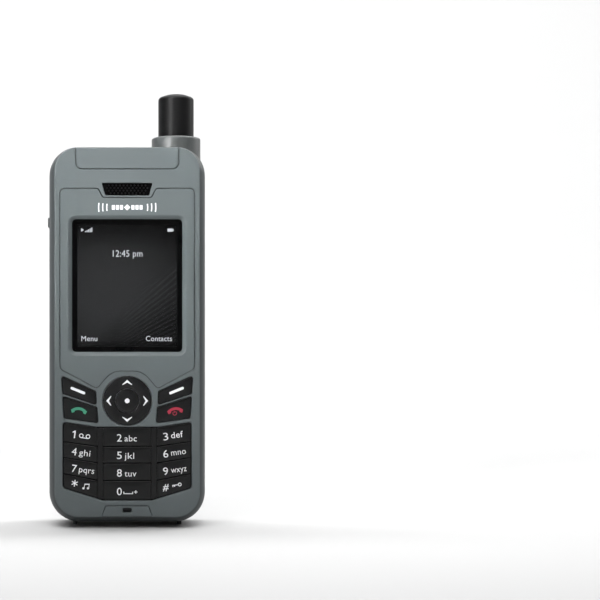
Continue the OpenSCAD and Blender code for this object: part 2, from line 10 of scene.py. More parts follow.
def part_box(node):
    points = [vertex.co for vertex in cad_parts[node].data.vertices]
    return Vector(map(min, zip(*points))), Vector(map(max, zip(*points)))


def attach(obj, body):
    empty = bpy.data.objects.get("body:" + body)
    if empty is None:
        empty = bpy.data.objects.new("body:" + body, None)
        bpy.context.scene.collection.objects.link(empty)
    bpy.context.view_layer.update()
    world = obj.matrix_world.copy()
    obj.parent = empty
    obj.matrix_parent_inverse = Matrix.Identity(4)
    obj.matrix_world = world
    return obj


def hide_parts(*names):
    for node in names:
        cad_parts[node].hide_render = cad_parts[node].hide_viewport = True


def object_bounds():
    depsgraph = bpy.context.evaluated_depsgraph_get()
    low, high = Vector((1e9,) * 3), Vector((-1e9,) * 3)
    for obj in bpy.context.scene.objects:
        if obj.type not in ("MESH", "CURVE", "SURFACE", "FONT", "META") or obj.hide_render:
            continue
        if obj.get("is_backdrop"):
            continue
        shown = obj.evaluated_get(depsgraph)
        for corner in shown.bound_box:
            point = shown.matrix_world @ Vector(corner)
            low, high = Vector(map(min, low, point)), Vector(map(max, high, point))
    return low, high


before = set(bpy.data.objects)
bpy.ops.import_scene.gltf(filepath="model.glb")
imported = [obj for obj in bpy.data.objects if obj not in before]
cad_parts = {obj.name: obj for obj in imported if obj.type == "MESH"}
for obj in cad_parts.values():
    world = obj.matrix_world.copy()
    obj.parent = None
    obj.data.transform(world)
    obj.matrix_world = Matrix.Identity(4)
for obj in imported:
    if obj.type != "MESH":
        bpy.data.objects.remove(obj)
cad_low, cad_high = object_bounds()

# Sizes below are in millimetres, in the frame's own axes: x to the right, y back, z up.
MM = 0.001

# ---- places taken from the frame ----


def span(node):
    """Lowest and highest corner of a CAD node, in millimetres."""
    low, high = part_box(node)
    return Vector(low) / MM, Vector(high) / MM


def middle(node):
    low, high = span(node)
    return (low + high) / 2


FACE_Y = span("front_housing")[0].y
SPLIT_Y = span("front_housing")[1].y
SEAL_Y = span("rear_housing")[0].y
BACK_Y = span("battery_cover")[1].y
SPINE_Y = span("rear_housing")[1].y
HALF_W = span("rear_housing")[1].x
BODY_Z0 = span("rear_housing")[0].z
BODY_Z1 = span("rear_housing")[1].z
WINDOW_Y = span("display_window")[0].y
LCD_Y = span("lcd_module")[0].y
NAV = middle("nav_ring")
ANTENNA = middle("antenna_collar")

# ---- shape of the housing ----

TOP_R = 10.0
BOTTOM_R = 10.5
FRONT_EDGE_D = 3.5
REAR_EDGE_W = 3.2
REAR_EDGE_D = 6.0
WIDEST_Y = -1.0
LEAN = (0.5, 1.1, 0.95)        # at the foot of the front edge: sides, below, above
FACE_INSET = (2.45, 3.06, 1.5)  # where the flat face begins: sides, below, above
WALL = 1.8
CAVITY_Y = FACE_Y + 2.7
POCKET_Y = FACE_Y + 1.75
FLOOR_Y0, FLOOR_Y1 = 1.0, 2.2
LIP = 0.22                     # rounding along the edges of an opening
CORNER_STEPS = 14

# ---- outlines ----


def rounded(corners, steps=CORNER_STEPS):
    """Points of an outline given as corners (x, z, radius), counter-clockwise from the front."""
    points = []
    count = len(corners)
    for i, (x, z, radius) in enumerate(corners):
        a = Vector(corners[i - 1][:2])
        b = Vector((x, z))
        c = Vector(corners[(i + 1) % count][:2])
        u, v = (a - b).normalized(), (c - b).normalized()
        half = acos(max(-1, min(1, u.dot(v)))) / 2
        r = max(radius, 0.02)
        centre = b + (u + v).normalized() * r / sin(half)
        p = b + u * r / tan(half) - centre
        q = b + v * r / tan(half) - centre
        start = atan2(p.y, p.x)
        turn = atan2(p.x * q.y - p.y * q.x, p.dot(q))
        for k in range(steps + 1):
            t = start + turn * k / steps
            points.append((centre.x + r * cos(t), centre.y + r * sin(t)))
    return points


def grown(loop, g):
    """The same closed outline moved outward by g, or inward where g is negative."""
    p = np.array(loop)
    before, after = p - np.roll(p, 1, 0), np.roll(p, -1, 0) - p
    n1 = np.column_stack((before[:, 1], -before[:, 0]))
    n2 = np.column_stack((after[:, 1], -after[:, 0]))
    n1 /= np.maximum(np.linalg.norm(n1, axis=1), 1e-9)[:, None]
    n2 /= np.maximum(np.linalg.norm(n2, axis=1), 1e-9)[:, None]
    k = g / np.maximum(1 + (n1 * n2).sum(1), 0.2)
    return [tuple(q) for q in p + (n1 + n2) * k[:, None]]


def circle(centre, r, steps):
    return [(centre[0] + r * cos(2 * pi * k / steps),
             centre[1] + r * sin(2 * pi * k / steps)) for k in range(steps)]


def box_outline(x0, z0, x1, z1, r, steps):
    return rounded([(x0, z0, r), (x1, z0, r), (x1, z1, r), (x0, z1, r)], steps)


def outline_around(node, gap, r, steps):
    """Rounded rectangle around a CAD node, wider than it by the gap on every side."""
    low, high = span(node)
    return box_outline(low.x - gap, low.z - gap, high.x + gap, high.z + gap, r, steps)


def body_outline(side=0.0, low=0.0, high=0.0):
    """Outline of the housing, drawn in at its sides, its lower edge and its upper edge."""
    x, z0, z1 = HALF_W - side, BODY_Z0 + low, BODY_Z1 - high
    return rounded([(-x, z0, BOTTOM_R - side), (x, z0, BOTTOM_R - side),
                    (x, z1, TOP_R - side), (-x, z1, TOP_R - side)], 24)


def lean(y):
    """How far the side, lower and upper walls lean in at a depth: the housing is widest in its middle."""
    t = max(0.0, min(1.0, (WIDEST_Y - y) / (WIDEST_Y - FACE_Y - FRONT_EDGE_D)))
    return np.array(LEAN) * t


def scaled(loop, centre, k):
    return [(centre[0] + (x - centre[0]) * k, centre[1] + (z - centre[1]) * k) for x, z in loop]


def area(loop):
    p = np.array(loop)
    q = np.roll(p, -1, 0)
    return float((p[:, 0] * q[:, 1] - q[:, 0] * p[:, 1]).sum() / 2)


def inside(point, loop):
    x, z = point
    hit = False
    for (x0, z0), (x1, z1) in zip(loop, loop[1:] + loop[:1]):
        if (z0 > z) != (z1 > z) and x < (x1 - x0) * (z - z0) / (z1 - z0) + x0:
            hit = not hit
    return hit


def face_loops(node, depth):
    """Outlines of a CAD node's flat faces at that depth, largest first, counter-clockwise."""
    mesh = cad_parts[node].data
    key = [tuple(round(c / MM, 4) for c in v.co) for v in mesh.vertices]
    edges = {}
    for polygon in mesh.polygons:
        corners = [key[i] for i in polygon.vertices]
        if all(abs(c[1] - depth) < 0.002 for c in corners):
            for a, b in zip(corners, corners[1:] + corners[:1]):
                if (b, a) in edges:
                    del edges[(b, a)]
                else:
                    edges[(a, b)] = True
    follow = {a: b for a, b in edges}
    loops = []
    while follow:
        start, point = follow.popitem()
        loop = [start]
        while point != start and point in follow:
            loop.append(point)
            point = follow.pop(point)
        outline = [(c[0], c[2]) for c in loop]
        loops.append(outline if area(outline) > 0 else outline[::-1])
    return sorted(loops, key=lambda o: -abs(area(o)))


HOUSING_HOLES = face_loops("front_housing", FACE_Y)[1:]


def housing_hole(node):
    """The opening in the front face that lies around the middle of a node."""
    at = middle(node)
    return min((h for h in HOUSING_HOLES if inside((at.x, at.z), h)), key=area)


# ---- solids ----


def placed(name, data):
    """New object in the scene for a mesh, curve, light or camera."""
    obj = bpy.data.objects.new(name, data)
    bpy.context.scene.collection.objects.link(obj)
    return obj


def new_object(name, verts, faces, scale=MM):
    mesh = bpy.data.meshes.new(name)
    mesh.from_pydata([Vector(v) * scale for v in verts], [], faces)
    bm = bmesh.new()
    bm.from_mesh(mesh)
    bmesh.ops.remove_doubles(bm, verts=bm.verts, dist=1e-7)
    bmesh.ops.dissolve_degenerate(bm, edges=bm.edges, dist=1e-8)
    bmesh.ops.recalc_face_normals(bm, faces=bm.faces)
    bm.to_mesh(mesh)
    bm.free()
    return placed(name, mesh)


def skinned(name, rings):
    """Closed solid through rings of points, all with the same number of points."""
    count = len(rings[0])
    verts = [point for ring in rings for point in ring]
    faces = []
    for s in range(len(rings) - 1):
        for i in range(count):
            j = (i + 1) % count
            faces.append((s * count + i, s * count + j, (s + 1) * count + j, (s + 1) * count + i))
    faces.append(tuple(range(count)))
    faces.append(tuple(range(len(verts) - count, len(verts)))[::-1])
    return new_object(name, verts, faces)


def loft(name, sections):
    """Solid through outlines in x and z, each with its depth."""
    return skinned(name, [[(x, y, z) for x, z in loop] for loop, y in sections])


def side_loft(name, sections):
    """Solid through outlines in y and z, each with its x."""
    return skinned(name, [[(x, y, z) for y, z in loop] for loop, x in sections])


def slab(name, outline, y0, y1):
    return loft(name, [(outline, y0), (outline, y1)])


def brick(name, low, high):
    """Box between two corners, as a cutting shape."""
    return slab(name, [(low[0], low[2]), (high[0], low[2]), (high[0], high[2]), (low[0], high[2])],
                low[1], high[1])


def quarter(r, steps=5):
    """Inset and depth along a rounded edge, from the face down to the wall."""
    return [(r * (1 - sin(t)), r * (1 - cos(t)))
            for t in (pi / 2 * k / steps for k in range(steps + 1))]


def opening(outline, face, depth, lip):
    """Cutting shape for a hole from face towards depth, with a rounded edge at the face."""
    way = 1 if depth > face else -1
    sections = [(grown(outline, lip), face - way)]
    sections += [(grown(outline, i), face + way * d) for i, d in quarter(lip)]
    sections.append((outline, depth))
    return loft("opening", sections)


def tablet(name, outline, front, back, r):
    """Flat piece with a rounded edge around its outer face."""
    way = 1 if back > front else -1
    sections = [(grown(outline, -i), front + way * d) for i, d in quarter(r)]
    sections.append((outline, back))
    return loft(name, sections)


def lathe(name, profile, centre, axis, segments):
    """Solid turned from a closed profile of (radius, place along the axis)."""
    verts, faces = [], []
    count = len(profile)
    for s in range(segments):
        t = 2 * pi * s / segments
        for r, h in profile:
            u, v = r * cos(t), r * sin(t)
            if axis == "y":
                verts.append((centre[0] + u, h, centre[1] + v))
            elif axis == "z":
                verts.append((centre[0] + u, centre[1] + v, h))
            else:
                verts.append((h, centre[0] + u, centre[1] + v))
    for s in range(segments):
        n = (s + 1) % segments
        for i in range(count):
            j = (i + 1) % count
            faces.append((s * count + i, s * count + j, n * count + j, n * count + i))
    return new_object(name, verts, faces)


def turning(name, corners, centre, axis="y", segments=96):
    """Solid turned from corners (radius, place along the axis, rounding)."""
    return lathe(name, rounded(corners, 5), centre, axis, segments)


def cylinder(name, r, start, end, centre, axis="y", segments=40):
    return lathe(name, [(0.0, start), (r, start), (r, end), (0.0, end)], centre, axis, segments)


def apply_modifiers(obj):
    depsgraph = bpy.context.evaluated_depsgraph_get()
    depsgraph.update()
    old = obj.data
    obj.data = bpy.data.meshes.new_from_object(obj.evaluated_get(depsgraph))
    obj.data.name = obj.name
    obj.modifiers.clear()
    bpy.data.meshes.remove(old)


def combine(obj, others, operation="DIFFERENCE"):
    """Cuts the other solids away from obj, or joins or intersects them, and removes them."""
    for other in others:
        modifier = obj.modifiers.new("combine", "BOOLEAN")
        modifier.operation = operation
        modifier.solver = "EXACT"
        modifier.object = other
    apply_modifiers(obj)
    for other in others:
        bpy.data.objects.remove(other)
    return obj


def joined(name, objects):
    """One object from several closed meshes."""
    bm = bmesh.new()
    for obj in objects:
        bm.from_mesh(obj.data)
        bpy.data.objects.remove(obj)
    mesh = bpy.data.meshes.new(name)
    bm.to_mesh(mesh)
    bm.free()
    return placed(name, mesh)


def smooth(obj, degrees):
    """Smooth shading that keeps edges sharper than the angle, weighted towards flat faces."""
    mesh = obj.data
    mesh.polygons.foreach_set("use_smooth", [True] * len(mesh.polygons))
    mesh.set_sharp_from_angle(angle=radians(degrees))
    modifier = obj.modifiers.new("weights", "WEIGHTED_NORMAL")
    modifier.keep_sharp = True
    modifier.weight = 80
    return obj


def bevelled(obj, width, segments=3):
    """Softens the edges that turn by more than 40 degrees."""
    modifier = obj.modifiers.new("edges", "BEVEL")
    modifier.width = width * MM
    modifier.segments = segments
    modifier.limit_method = "ANGLE"
    modifier.angle_limit = radians(40)
    modifier.harden_normals = False
    return obj


def piece(obj, body, slot, material, *nodes):
    """Finishes a piece: shading, material, the body that it rides on and the nodes it stands for."""
    smooth(obj, 32)
    obj.data.materials.clear()
    obj.data.materials.append(material)
    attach(obj, body)
    if nodes:
        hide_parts(*nodes)
    return obj


# ---- materials ----


class Net:
    """Short way to add and link shader nodes in one material."""

    def __init__(self, name):
        self.material = bpy.data.materials.new(name)
        self.material.use_nodes = True
        self.nodes = self.material.node_tree.nodes
        self.links = self.material.node_tree.links
        self.shader = self.nodes["Principled BSDF"]
        self.object_space = self.add("TexCoord").outputs["Object"]

    def add(self, kind, _inputs=None, **settings):
        node = self.nodes.new("ShaderNode" + kind)
        for key, value in settings.items():
            setattr(node, key, value)
        for key, value in (_inputs or {}).items():
            if isinstance(value, bpy.types.NodeSocket):
                self.links.new(value, node.inputs[key])
            else:
                node.inputs[key].default_value = value
        return node

    def noise(self, scale, detail=3.0, roughness=0.6, stretch=None):
        vector = self.object_space
        if stretch:
            vector = self.add("Mapping", {"Vector": vector, "Scale": stretch}).outputs[0]
        return self.add("TexNoise", {"Vector": vector, "Scale": scale, "Detail": detail,
                                               "Roughness": roughness}).outputs["Fac"]

    def ramp(self, value, low, high, out_low=0.0, out_high=1.0):
        return self.add("MapRange", {"Value": value, "From Min": low, "From Max": high,
                                               "To Min": out_low, "To Max": out_high}).outputs[0]

    def math(self, operation, a, b=0.0):
        return self.add("Math", {0: a, 1: b}, operation=operation).outputs[0]

    def times(self, a, b):
        return self.math("MULTIPLY", a, b)

    def plus(self, a, b):
        return self.math("ADD", a, b)

    def minus(self, a, b):
        return self.math("SUBTRACT", a, b)

    def mix(self, factor, a, b):
        return self.add("Mix", {"Factor": factor, 6: a, 7: b}, data_type="RGBA").outputs[2]

    def edge_wear(self, radius):
        """Mask that is 1 along worn edges: where a rounded normal leaves the true one."""
        bevel = self.add("Bevel", {"Radius": radius * MM}, samples=4).outputs[0]
        true = self.add("NewGeometry").outputs["Normal"]
        dot = self.add("VectorMath", {0: bevel, 1: true}, operation="DOT_PRODUCT")
        return self.ramp(self.minus(1.0, dot.outputs["Value"]), 0.02, 0.25)

    def bump(self, *layers):
        """Bump from (height, strength, depth in mm) layers, one on top of the other."""
        normal = None
        for height, strength, depth in layers:
            inputs = {"Height": height, "Strength": strength, "Distance": depth * MM}
            if normal is not None:
                inputs["Normal"] = normal
            normal = self.add("Bump", inputs).outputs[0]
        self.links.new(normal, self.shader.inputs["Normal"])

    def colour(self, socket):
        self.links.new(socket, self.shader.inputs["Base Color"])

    def roughness(self, socket):
        self.links.new(socket, self.shader.inputs["Roughness"])

    def uneven(self, scale, low, high):
        """Roughness that drifts between two values."""
        self.roughness(self.ramp(self.noise(scale), 0.3, 0.7, low, high))

    def set(self, **values):
        """Uniform values on the shader's own sockets, with _ for each blank in a socket's name."""
        for key, value in values.items():
            self.shader.inputs[key.replace("_", " ")].default_value = value


def tint(rgb, k):
    return (min(rgb[0] * k, 1), min(rgb[1] * k, 1), min(rgb[2] * k, 1), 1)


def mottled(net, cloud, rgb):
    return net.mix(cloud, tint(rgb, 0.95), tint(rgb, 1.05))


def moulded(name, rgb, rough=0.42, grain=0.05, grain_scale=2600, wear=0.0, specular=0.5, coat=0.0,
            under=None):
    """Moulded or painted plastic: fine spark grain, slight mottling, paler worn edges.
    Under, where given, is a darker colour laid on everything behind the flat front face: painted shade on the
    rounded sides, in the same plastic as the face."""
    net = Net(name)
    cloud = net.noise(90, 4)
    base = mottled(net, cloud, rgb)
    if under:
        # painted shade: past the crease behind the flat face, the colour turns to the darker side colour
        depth = net.add("SeparateXYZ", {0: net.object_space}).outputs[1]
        painted_side_shade = net.ramp(depth, (FACE_Y + 0.08) * MM, (FACE_Y + 0.3) * MM)
        base = net.mix(painted_side_shade, base, mottled(net, cloud, under))
    fine = net.noise(grain_scale, 2, 0.7)
    smudge = net.noise(45, 3, 0.55)
    gloss = net.plus(net.ramp(smudge, 0.3, 0.7, rough - 0.04, rough + 0.05),
                     net.ramp(fine, 0.3, 0.7, -0.02, 0.02))
    if wear:
        scuffed = net.times(net.edge_wear(0.22), net.ramp(net.noise(380, 4), 0.45, 0.7, 0, wear))
        base = net.mix(scuffed, base, tint(rgb, 1.9))
        gloss = net.minus(gloss, net.times(scuffed, 0.12))
    net.colour(base)
    net.roughness(gloss)
    net.bump((net.noise(grain_scale / 6, 3), grain * 0.6, 0.03), (fine, grain, 0.02))
    net.set(Specular_IOR_Level=specular)
    if coat:
        net.set(Coat_Weight=coat, Coat_Roughness=0.25)
    return net.material


def rubbery(name, rgb):
    """Soft rubber with a little pale dust."""
    net = Net(name)
    dust = net.ramp(net.noise(420, 5, 0.7), 0.45, 0.85)
    net.colour(net.mix(dust, tint(rgb, 0.94), tint(rgb, 1.25)))
    net.uneven(700, 0.56, 0.70)
    net.bump((net.noise(3000, 2, 0.7), 0.12, 0.03))
    net.set(Specular_IOR_Level=0.35)
    return net.material


def metal(name, rgb, rough, brushed=(1, 1, 14)):
    """Bare metal. Brushed scales its streaks along each axis: the larger, the finer."""
    net = Net(name)
    streak = net.noise(900, 3, 0.6, brushed)
    net.colour(net.mix(net.noise(150, 3), tint(rgb, 0.85), tint(rgb, 1.08)))
    net.roughness(net.ramp(streak, 0.3, 0.7, rough - 0.07, rough + 0.1))
    net.bump((streak, 0.08, 0.02))
    net.set(Metallic=1.0)
    return net.material


def solder_mask(name, rgb):
    """Circuit board lacquer, with fine conductors showing through."""
    net = Net(name)
    track = net.add("TexBrick", {"Vector": net.object_space, "Scale": 320.0, "Mortar Size": 0.012})
    net.colour(net.mix(track.outputs["Fac"], tint(rgb, 1), tint(rgb, 1.9)))
    net.uneven(300, 0.28, 0.4)
    net.bump((track.outputs["Fac"], 0.15, 0.02))
    return net.material


def clear_window(name):
    """Clear plastic with a trace of dust."""
    net = Net(name)
    net.set(Base_Color=(0.97, 0.98, 0.99, 1), IOR=1.3, Specular_IOR_Level=0.25)
    dust = net.ramp(net.noise(420, 5), 0.35, 0.75, 0.9988, 0.9968)
    net.links.new(dust, net.shader.inputs["Transmission Weight"])
    net.roughness(net.ramp(net.noise(60, 4), 0.35, 0.75, 0.01, 0.03))
    net.bump((net.noise(12, 2), 0.02, 0.02))
    return net.material


def glow(name, rgb, strength):
    """Lit figures of the display, with a faint grain of pixels."""
    net = Net(name)
    grid = net.ramp(net.noise(1500, 1), 0.3, 0.7, 0.94, 1.0)
    net.colour(net.mix(grid, (0, 0, 0, 1), (0.01, 0.01, 0.01, 1)))
    net.links.new(net.mix(grid, (0, 0, 0, 1), (*rgb, 1)), net.shader.inputs["Emission Color"])
    net.set(Emission_Strength=strength)
    net.uneven(900, 0.3, 0.4)
    return net.material


def printed(name, rgb):
    """Ink of the key legends, slightly uneven."""
    net = Net(name)
    net.colour(net.mix(net.ramp(net.noise(1800, 3), 0.35, 0.7), tint(rgb, 0.88), tint(rgb, 1)))
    net.uneven(900, 0.45, 0.55)
    net.bump((net.noise(4000, 2), 0.05, 0.01))
    return net.material


SHELL_RGB = (0.098, 0.114, 0.117)
# darker colour for the housing's rounded sides: painted shade on the same grey paint
SIDE_SHADE_RGB = (0.041, 0.047, 0.049)
REAR_RGB = (0.052, 0.058, 0.060)
shell = moulded("shell_paint", SHELL_RGB, wear=0.22, specular=0.3, under=SIDE_SHADE_RGB)
surround = moulded("surround_paint", SHELL_RGB, rough=0.40, wear=0.16, specular=0.3)
rear_shell = moulded("rear_shell_plastic", REAR_RGB, rough=0.5, grain=0.14, grain_scale=1900, wear=0.4)
collar_plastic = moulded("collar_plastic", (0.052, 0.057, 0.057), rough=0.39, grain=0.04, wear=0.3,
                         specular=0.6)
antenna_plastic = moulded("antenna_plastic", (0.0042, 0.0042, 0.0044), rough=0.44, grain=0.04, specular=0.12)
key_plastic = moulded("key_plastic", (0.0048, 0.0049, 0.0051), rough=0.36, specular=0.3)
mesh_paint = moulded("mesh_paint", (0.0010, 0.0010, 0.0012), rough=0.36, grain=0.03, specular=0.06)
black_rubber = rubbery("black_rubber", (0.005, 0.005, 0.0055))
foot_rubber = rubbery("foot_rubber", (0.03, 0.032, 0.033))
flap_rubber = rubbery("flap_rubber", (0.036, 0.040, 0.042))
window_glass = clear_window("window_glass")
border_print = moulded("border_print", (0.018, 0.018, 0.019), rough=0.3, grain=0.02, specular=0.3)
dark_case = moulded("dark_case", (0.02, 0.02, 0.022), rough=0.4)
battery_wrap = moulded("battery_wrap", (0.018, 0.019, 0.023), rough=0.34, grain=0.03, coat=0.2)
socket_plastic = moulded("socket_plastic", (0.012, 0.012, 0.013), rough=0.4)
steel = metal("plain_steel", (0.55, 0.55, 0.56), 0.3)
lock_steel = metal("lock_steel", (0.30, 0.31, 0.32), 0.34, (14, 1, 1))
magnesium = metal("cast_magnesium", (0.50, 0.50, 0.52), 0.5, (1, 1, 1))
heavy_metal = metal("sintered_tungsten", (0.42, 0.41, 0.39), 0.45, (1, 1, 1))
copper = metal("bare_copper", (0.80, 0.42, 0.24), 0.25)
gold = metal("plated_contacts", (0.83, 0.62, 0.28), 0.25)
board_green = solder_mask("solder_mask", (0.010, 0.075, 0.032))
ceramic = moulded("fired_ceramic", (0.66, 0.60, 0.47), rough=0.55)
card_plastic = moulded("card_plastic", (0.70, 0.55, 0.20), rough=0.35)
white_ink = printed("white_ink", (0.86, 0.88, 0.89))
green_ink = printed("green_ink", (0.045, 0.27, 0.16))
red_ink = printed("red_ink", (0.38, 0.022, 0.05))
screen_white = glow("screen_white", (0.92, 0.95, 1.0), 0.8)

# ---- front housing ----


def front_form(name):
    """Outer form of the front half: flat face, a crease, then a side that rounds away."""
    sections = [(body_outline(*lean(SPLIT_Y)), SPLIT_Y)]
    foot, face = np.array(LEAN), np.array(FACE_INSET)
    steps = 12
    for k in range(steps + 1):
        t = k / steps
        inset = foot + (face - foot) * (0.7 * t * (1 - t) + t * t)
        depth = FRONT_EDGE_D * ((1 - t) ** 2 + 0.66 * t * (1 - t))
        sections.append((body_outline(*inset), FACE_Y + 0.06 + depth * 0.985))
    sections.append((body_outline(*(face + 0.12)), FACE_Y + 0.02))
    sections.append((body_outline(*(face + 0.28)), FACE_Y))
    return loft(name, sections)


INSERT_LOW, INSERT_HIGH = span("top_insert")
CHIN_LOOP, MIC_LOOP = face_loops("chin_insert", FACE_Y)[:2]
INSERT_R = 2.0
INSERT_T = 0.9                 # depth of the chin insert and of the speaker mesh's recess


def top_insert_form(gap):
    """Insert that lies in the face and folds back over the top edge, as two overlapping slabs."""
    x, z = INSERT_HIGH.x + gap, INSERT_LOW.z - gap
    outline = rounded([(-x, z, INSERT_R + gap), (x, z, INSERT_R + gap),
                       (x, BODY_Z1 + 4, 0.1), (-x, BODY_Z1 + 4, 0.1)])
    front = slab("insert_front", outline, FACE_Y - 1, FACE_Y + 1.2 + gap)
    over = brick("insert_over", (-x, FACE_Y + 0.5, BODY_Z1 - 1.5 - gap),
                 (x, INSERT_HIGH.y + gap, BODY_Z1 + 2))
    return combine(front, [over], "UNION")


housing = front_form("front_housing_shell")
window_pocket = grown(face_loops("display_window", WINDOW_Y)[0], 0.05)
mesh_hole = housing_hole("earpiece_mesh")
EAR = middle("earpiece_mesh")
mat_loop = face_loops("keymat", FACE_Y + 2.4)[0]
cuts = [
    slab("cavity", grown(body_outline(), -WALL), CAVITY_Y, SPLIT_Y + 1),
    opening(housing_hole("fascia_panel"), FACE_Y, WINDOW_Y, 0.1),
    slab("window_pocket", window_pocket, WINDOW_Y - 0.5, FACE_Y + 2.1),
    slab("view", outline_around("display_window", -2.1, 0.5, 4), FACE_Y + 1, CAVITY_Y + 0.5),
    opening(mesh_hole, FACE_Y, FACE_Y + INSERT_T, 0.12),
    slab("sound_hole", scaled(mesh_hole, (EAR.x, EAR.z), 0.92), FACE_Y, CAVITY_Y + 0.5),
    top_insert_form(0.30),
    opening(grown(CHIN_LOOP, 0.22), FACE_Y, FACE_Y + INSERT_T, 0.12),
    slab("mic_hole", MIC_LOOP, FACE_Y, CAVITY_Y + 0.5),
    slab("mat_pocket", grown(mat_loop, 0.1), POCKET_Y, CAVITY_Y + 0.01),
]
for node in ("nav_ring", "soft_key_left", "soft_key_right", "call_key", "end_key", "key_5"):
    cuts.append(opening(housing_hole(node), FACE_Y, POCKET_Y + 0.3, 0.34 if node == "key_5" else LIP))
combine(housing, cuts)
piece(housing, "root", "shell", shell, "front_housing")

insert = combine(front_form("top_insert_panel"), [top_insert_form(0)], "INTERSECT")
piece(bevelled(insert, 0.06), "root", "shell", shell, "top_insert")

chin = slab("chin_panel", CHIN_LOOP, FACE_Y, FACE_Y + INSERT_T)
combine(chin, [opening(MIC_LOOP, FACE_Y, FACE_Y + 2, 0.15)])
piece(bevelled(chin, 0.05, 2), "root", "shell", shell, "chin_insert")

# ---- display surround, window, picture ----

fascia_loops = face_loops("fascia_panel", FACE_Y)
INK = 0.003                    # how far the mark stands out of the panel
panel = tablet("display_surround", grown(fascia_loops[0], -0.05), FACE_Y + INK, WINDOW_Y, 0.07)
ramp_top = fascia_loops[1]
RAMP = 1.2                     # width and depth of the slope down to the window
RAMP_LIP = 0.3
ramp_sections = [(grown(ramp_top, RAMP_LIP), FACE_Y - 1), (grown(ramp_top, RAMP_LIP), FACE_Y)]
for k in range(1, 9):
    t = k / 8
    inset = RAMP_LIP - (RAMP + RAMP_LIP) * t ** 0.8
    ramp_sections.append((grown(ramp_top, inset), FACE_Y + RAMP * t ** 1.25))
ramp_sections.append((grown(ramp_top, -RAMP), WINDOW_Y + 1))
combine(panel, [loft("ramp", ramp_sections)])
piece(panel, "root", "surround", surround, "fascia_panel")

PICTURE_X = 16.75
PICTURE_Z0, PICTURE_Z1 = 60.5, 101.9
PICTURE_Y = LCD_Y - 0.02
POOL_X, POOL_Z = -6.0, 78.0    # middle of the picture's pool of light
POOL_W, POOL_H = 33.0, 27.0    # half its width and height
FAN_X, FAN_Z = -31.7, 44.1     # where the picture's fine lines would meet
FAN_TOP = 0.74                 # angle of the topmost line
FAN_LINES = 230.0              # lines that a full turn would hold


def wallpaper():
    """Dim picture: a pool of light, a darker bar above, fine lines fanning out in the lower right."""
    net = Net("wallpaper")
    split = net.add("SeparateXYZ", {0: net.object_space})
    x, z = (net.math("DIVIDE", split.outputs[k], MM) for k in (0, 2))

    def square(value):
        return net.times(value, value)

    pool_x = net.math("DIVIDE", net.minus(x, POOL_X), POOL_W)
    pool_z = net.math("DIVIDE", net.minus(z, POOL_Z), POOL_H)
    pool = net.ramp(net.plus(square(pool_x), square(pool_z)), 0.0, 1.0, 1.06, 0.0)
    fan_x, fan_z = net.minus(x, FAN_X), net.minus(z, FAN_Z)
    angle = net.math("ARCTAN2", fan_z, fan_x)
    reach = net.math("SQRT", net.plus(square(fan_x), square(fan_z)))
    # the steeper a line, the further from the meeting point it starts
    start = net.ramp(net.minus(reach, net.times(angle, 40.0)), 9.5, 15.0)
    fan = net.times(net.ramp(angle, FAN_TOP + 0.02, FAN_TOP - 0.02), start)
    lines = net.times(net.ramp(net.math("SINE", net.times(angle, FAN_LINES)), -0.5, 1.0), fan)
    shade = net.times(pool, net.ramp(angle, FAN_TOP - 0.3, FAN_TOP + 0.04, 0.06, 1.0))
    shade = net.plus(shade, net.times(lines, 0.42))
    shade = net.times(shade, net.ramp(z, 93.0, 100.0, 1.0, 0.2))
    shade = net.times(shade, net.ramp(z, 61.5, 62.5, 0.5, 1.0))
    pixels = net.ramp(net.noise(1600, 0), 0.2, 0.8, 0.95, 1.05)
    net.links.new(net.mix(net.times(shade, pixels), (0, 0, 0, 1), (0.98, 1.0, 1.03, 1)),
                  net.shader.inputs["Emission Color"])
    net.set(Emission_Strength=0.028, Specular_IOR_Level=0.05, Base_Color=(0.002, 0.002, 0.002, 1))
    net.uneven(900, 0.3, 0.4)
    return net.material


picture = slab("display_picture", box_outline(-PICTURE_X, PICTURE_Z0, PICTURE_X, PICTURE_Z1, 0.3, 3),
               PICTURE_Y, LCD_Y)
piece(picture, "root", "screen", wallpaper())


CAPITAL = 0.70                 # height of a capital in the built-in typeface, at size 1


def letters(text, place, depth, height, width, turn=0.0, bold=0.0, shear=0.0, align="CENTER"):
    """Flat lettering in x and z as a closed mesh. Place is the middle or left end of its baseline,
    height that of a digit or capital, and width that of the whole text."""
    curve = bpy.data.curves.new("letters", "FONT")
    curve.body = text
    curve.size = 1.0
    curve.offset = bold
    curve.shear = shear
    curve.extrude = 0.01
    curve.align_x = align
    curve.resolution_u = 3
    curve.space_character = 1.04
    obj = placed("letters", curve)
    bpy.context.view_layer.update()
    mesh = bpy.data.meshes.new_from_object(obj.evaluated_get(bpy.context.evaluated_depsgraph_get()))
    bpy.data.objects.remove(obj)
    scale_z = height / CAPITAL
    xs = [v.co.x for v in mesh.vertices]
    scale_x = width / (max(xs) - min(xs))
    shift = min(xs) if align == "LEFT" else (min(xs) + max(xs)) / 2
    c, s = cos(turn), sin(turn)
    for v in mesh.vertices:
        x, z, t = (v.co.x - shift) * scale_x, v.co.y * scale_z, v.co.z * 2
        v.co = Vector((place[0] + x * c - z * s, depth - t, place[1] + x * s + z * c)) * MM
    return placed("letters", mesh)


def chip(outline, depth):
    """Thin printed shape with the given outline."""
    return slab("chip", outline, depth - 0.02, depth + 0.02)


def turned(outline, centre, turn):
    """An outline drawn around the origin, turned and moved to its place."""
    c, s = cos(turn), sin(turn)
    return [(centre[0] + x * c - z * s, centre[1] + x * s + z * c) for x, z in outline]


def arc_band(centre, r_in, r_out, start, end, steps=24):
    """Outline of a band along an arc, angles in degrees."""
    angles = [radians(start + (end - start) * k / steps) for k in range(steps + 1)]
    outer = [(centre[0] + r_out * cos(t), centre[1] + r_out * sin(t)) for t in angles]
    inner = [(centre[0] + r_in * cos(t), centre[1] + r_in * sin(t)) for t in reversed(angles)]
    return outer + inner


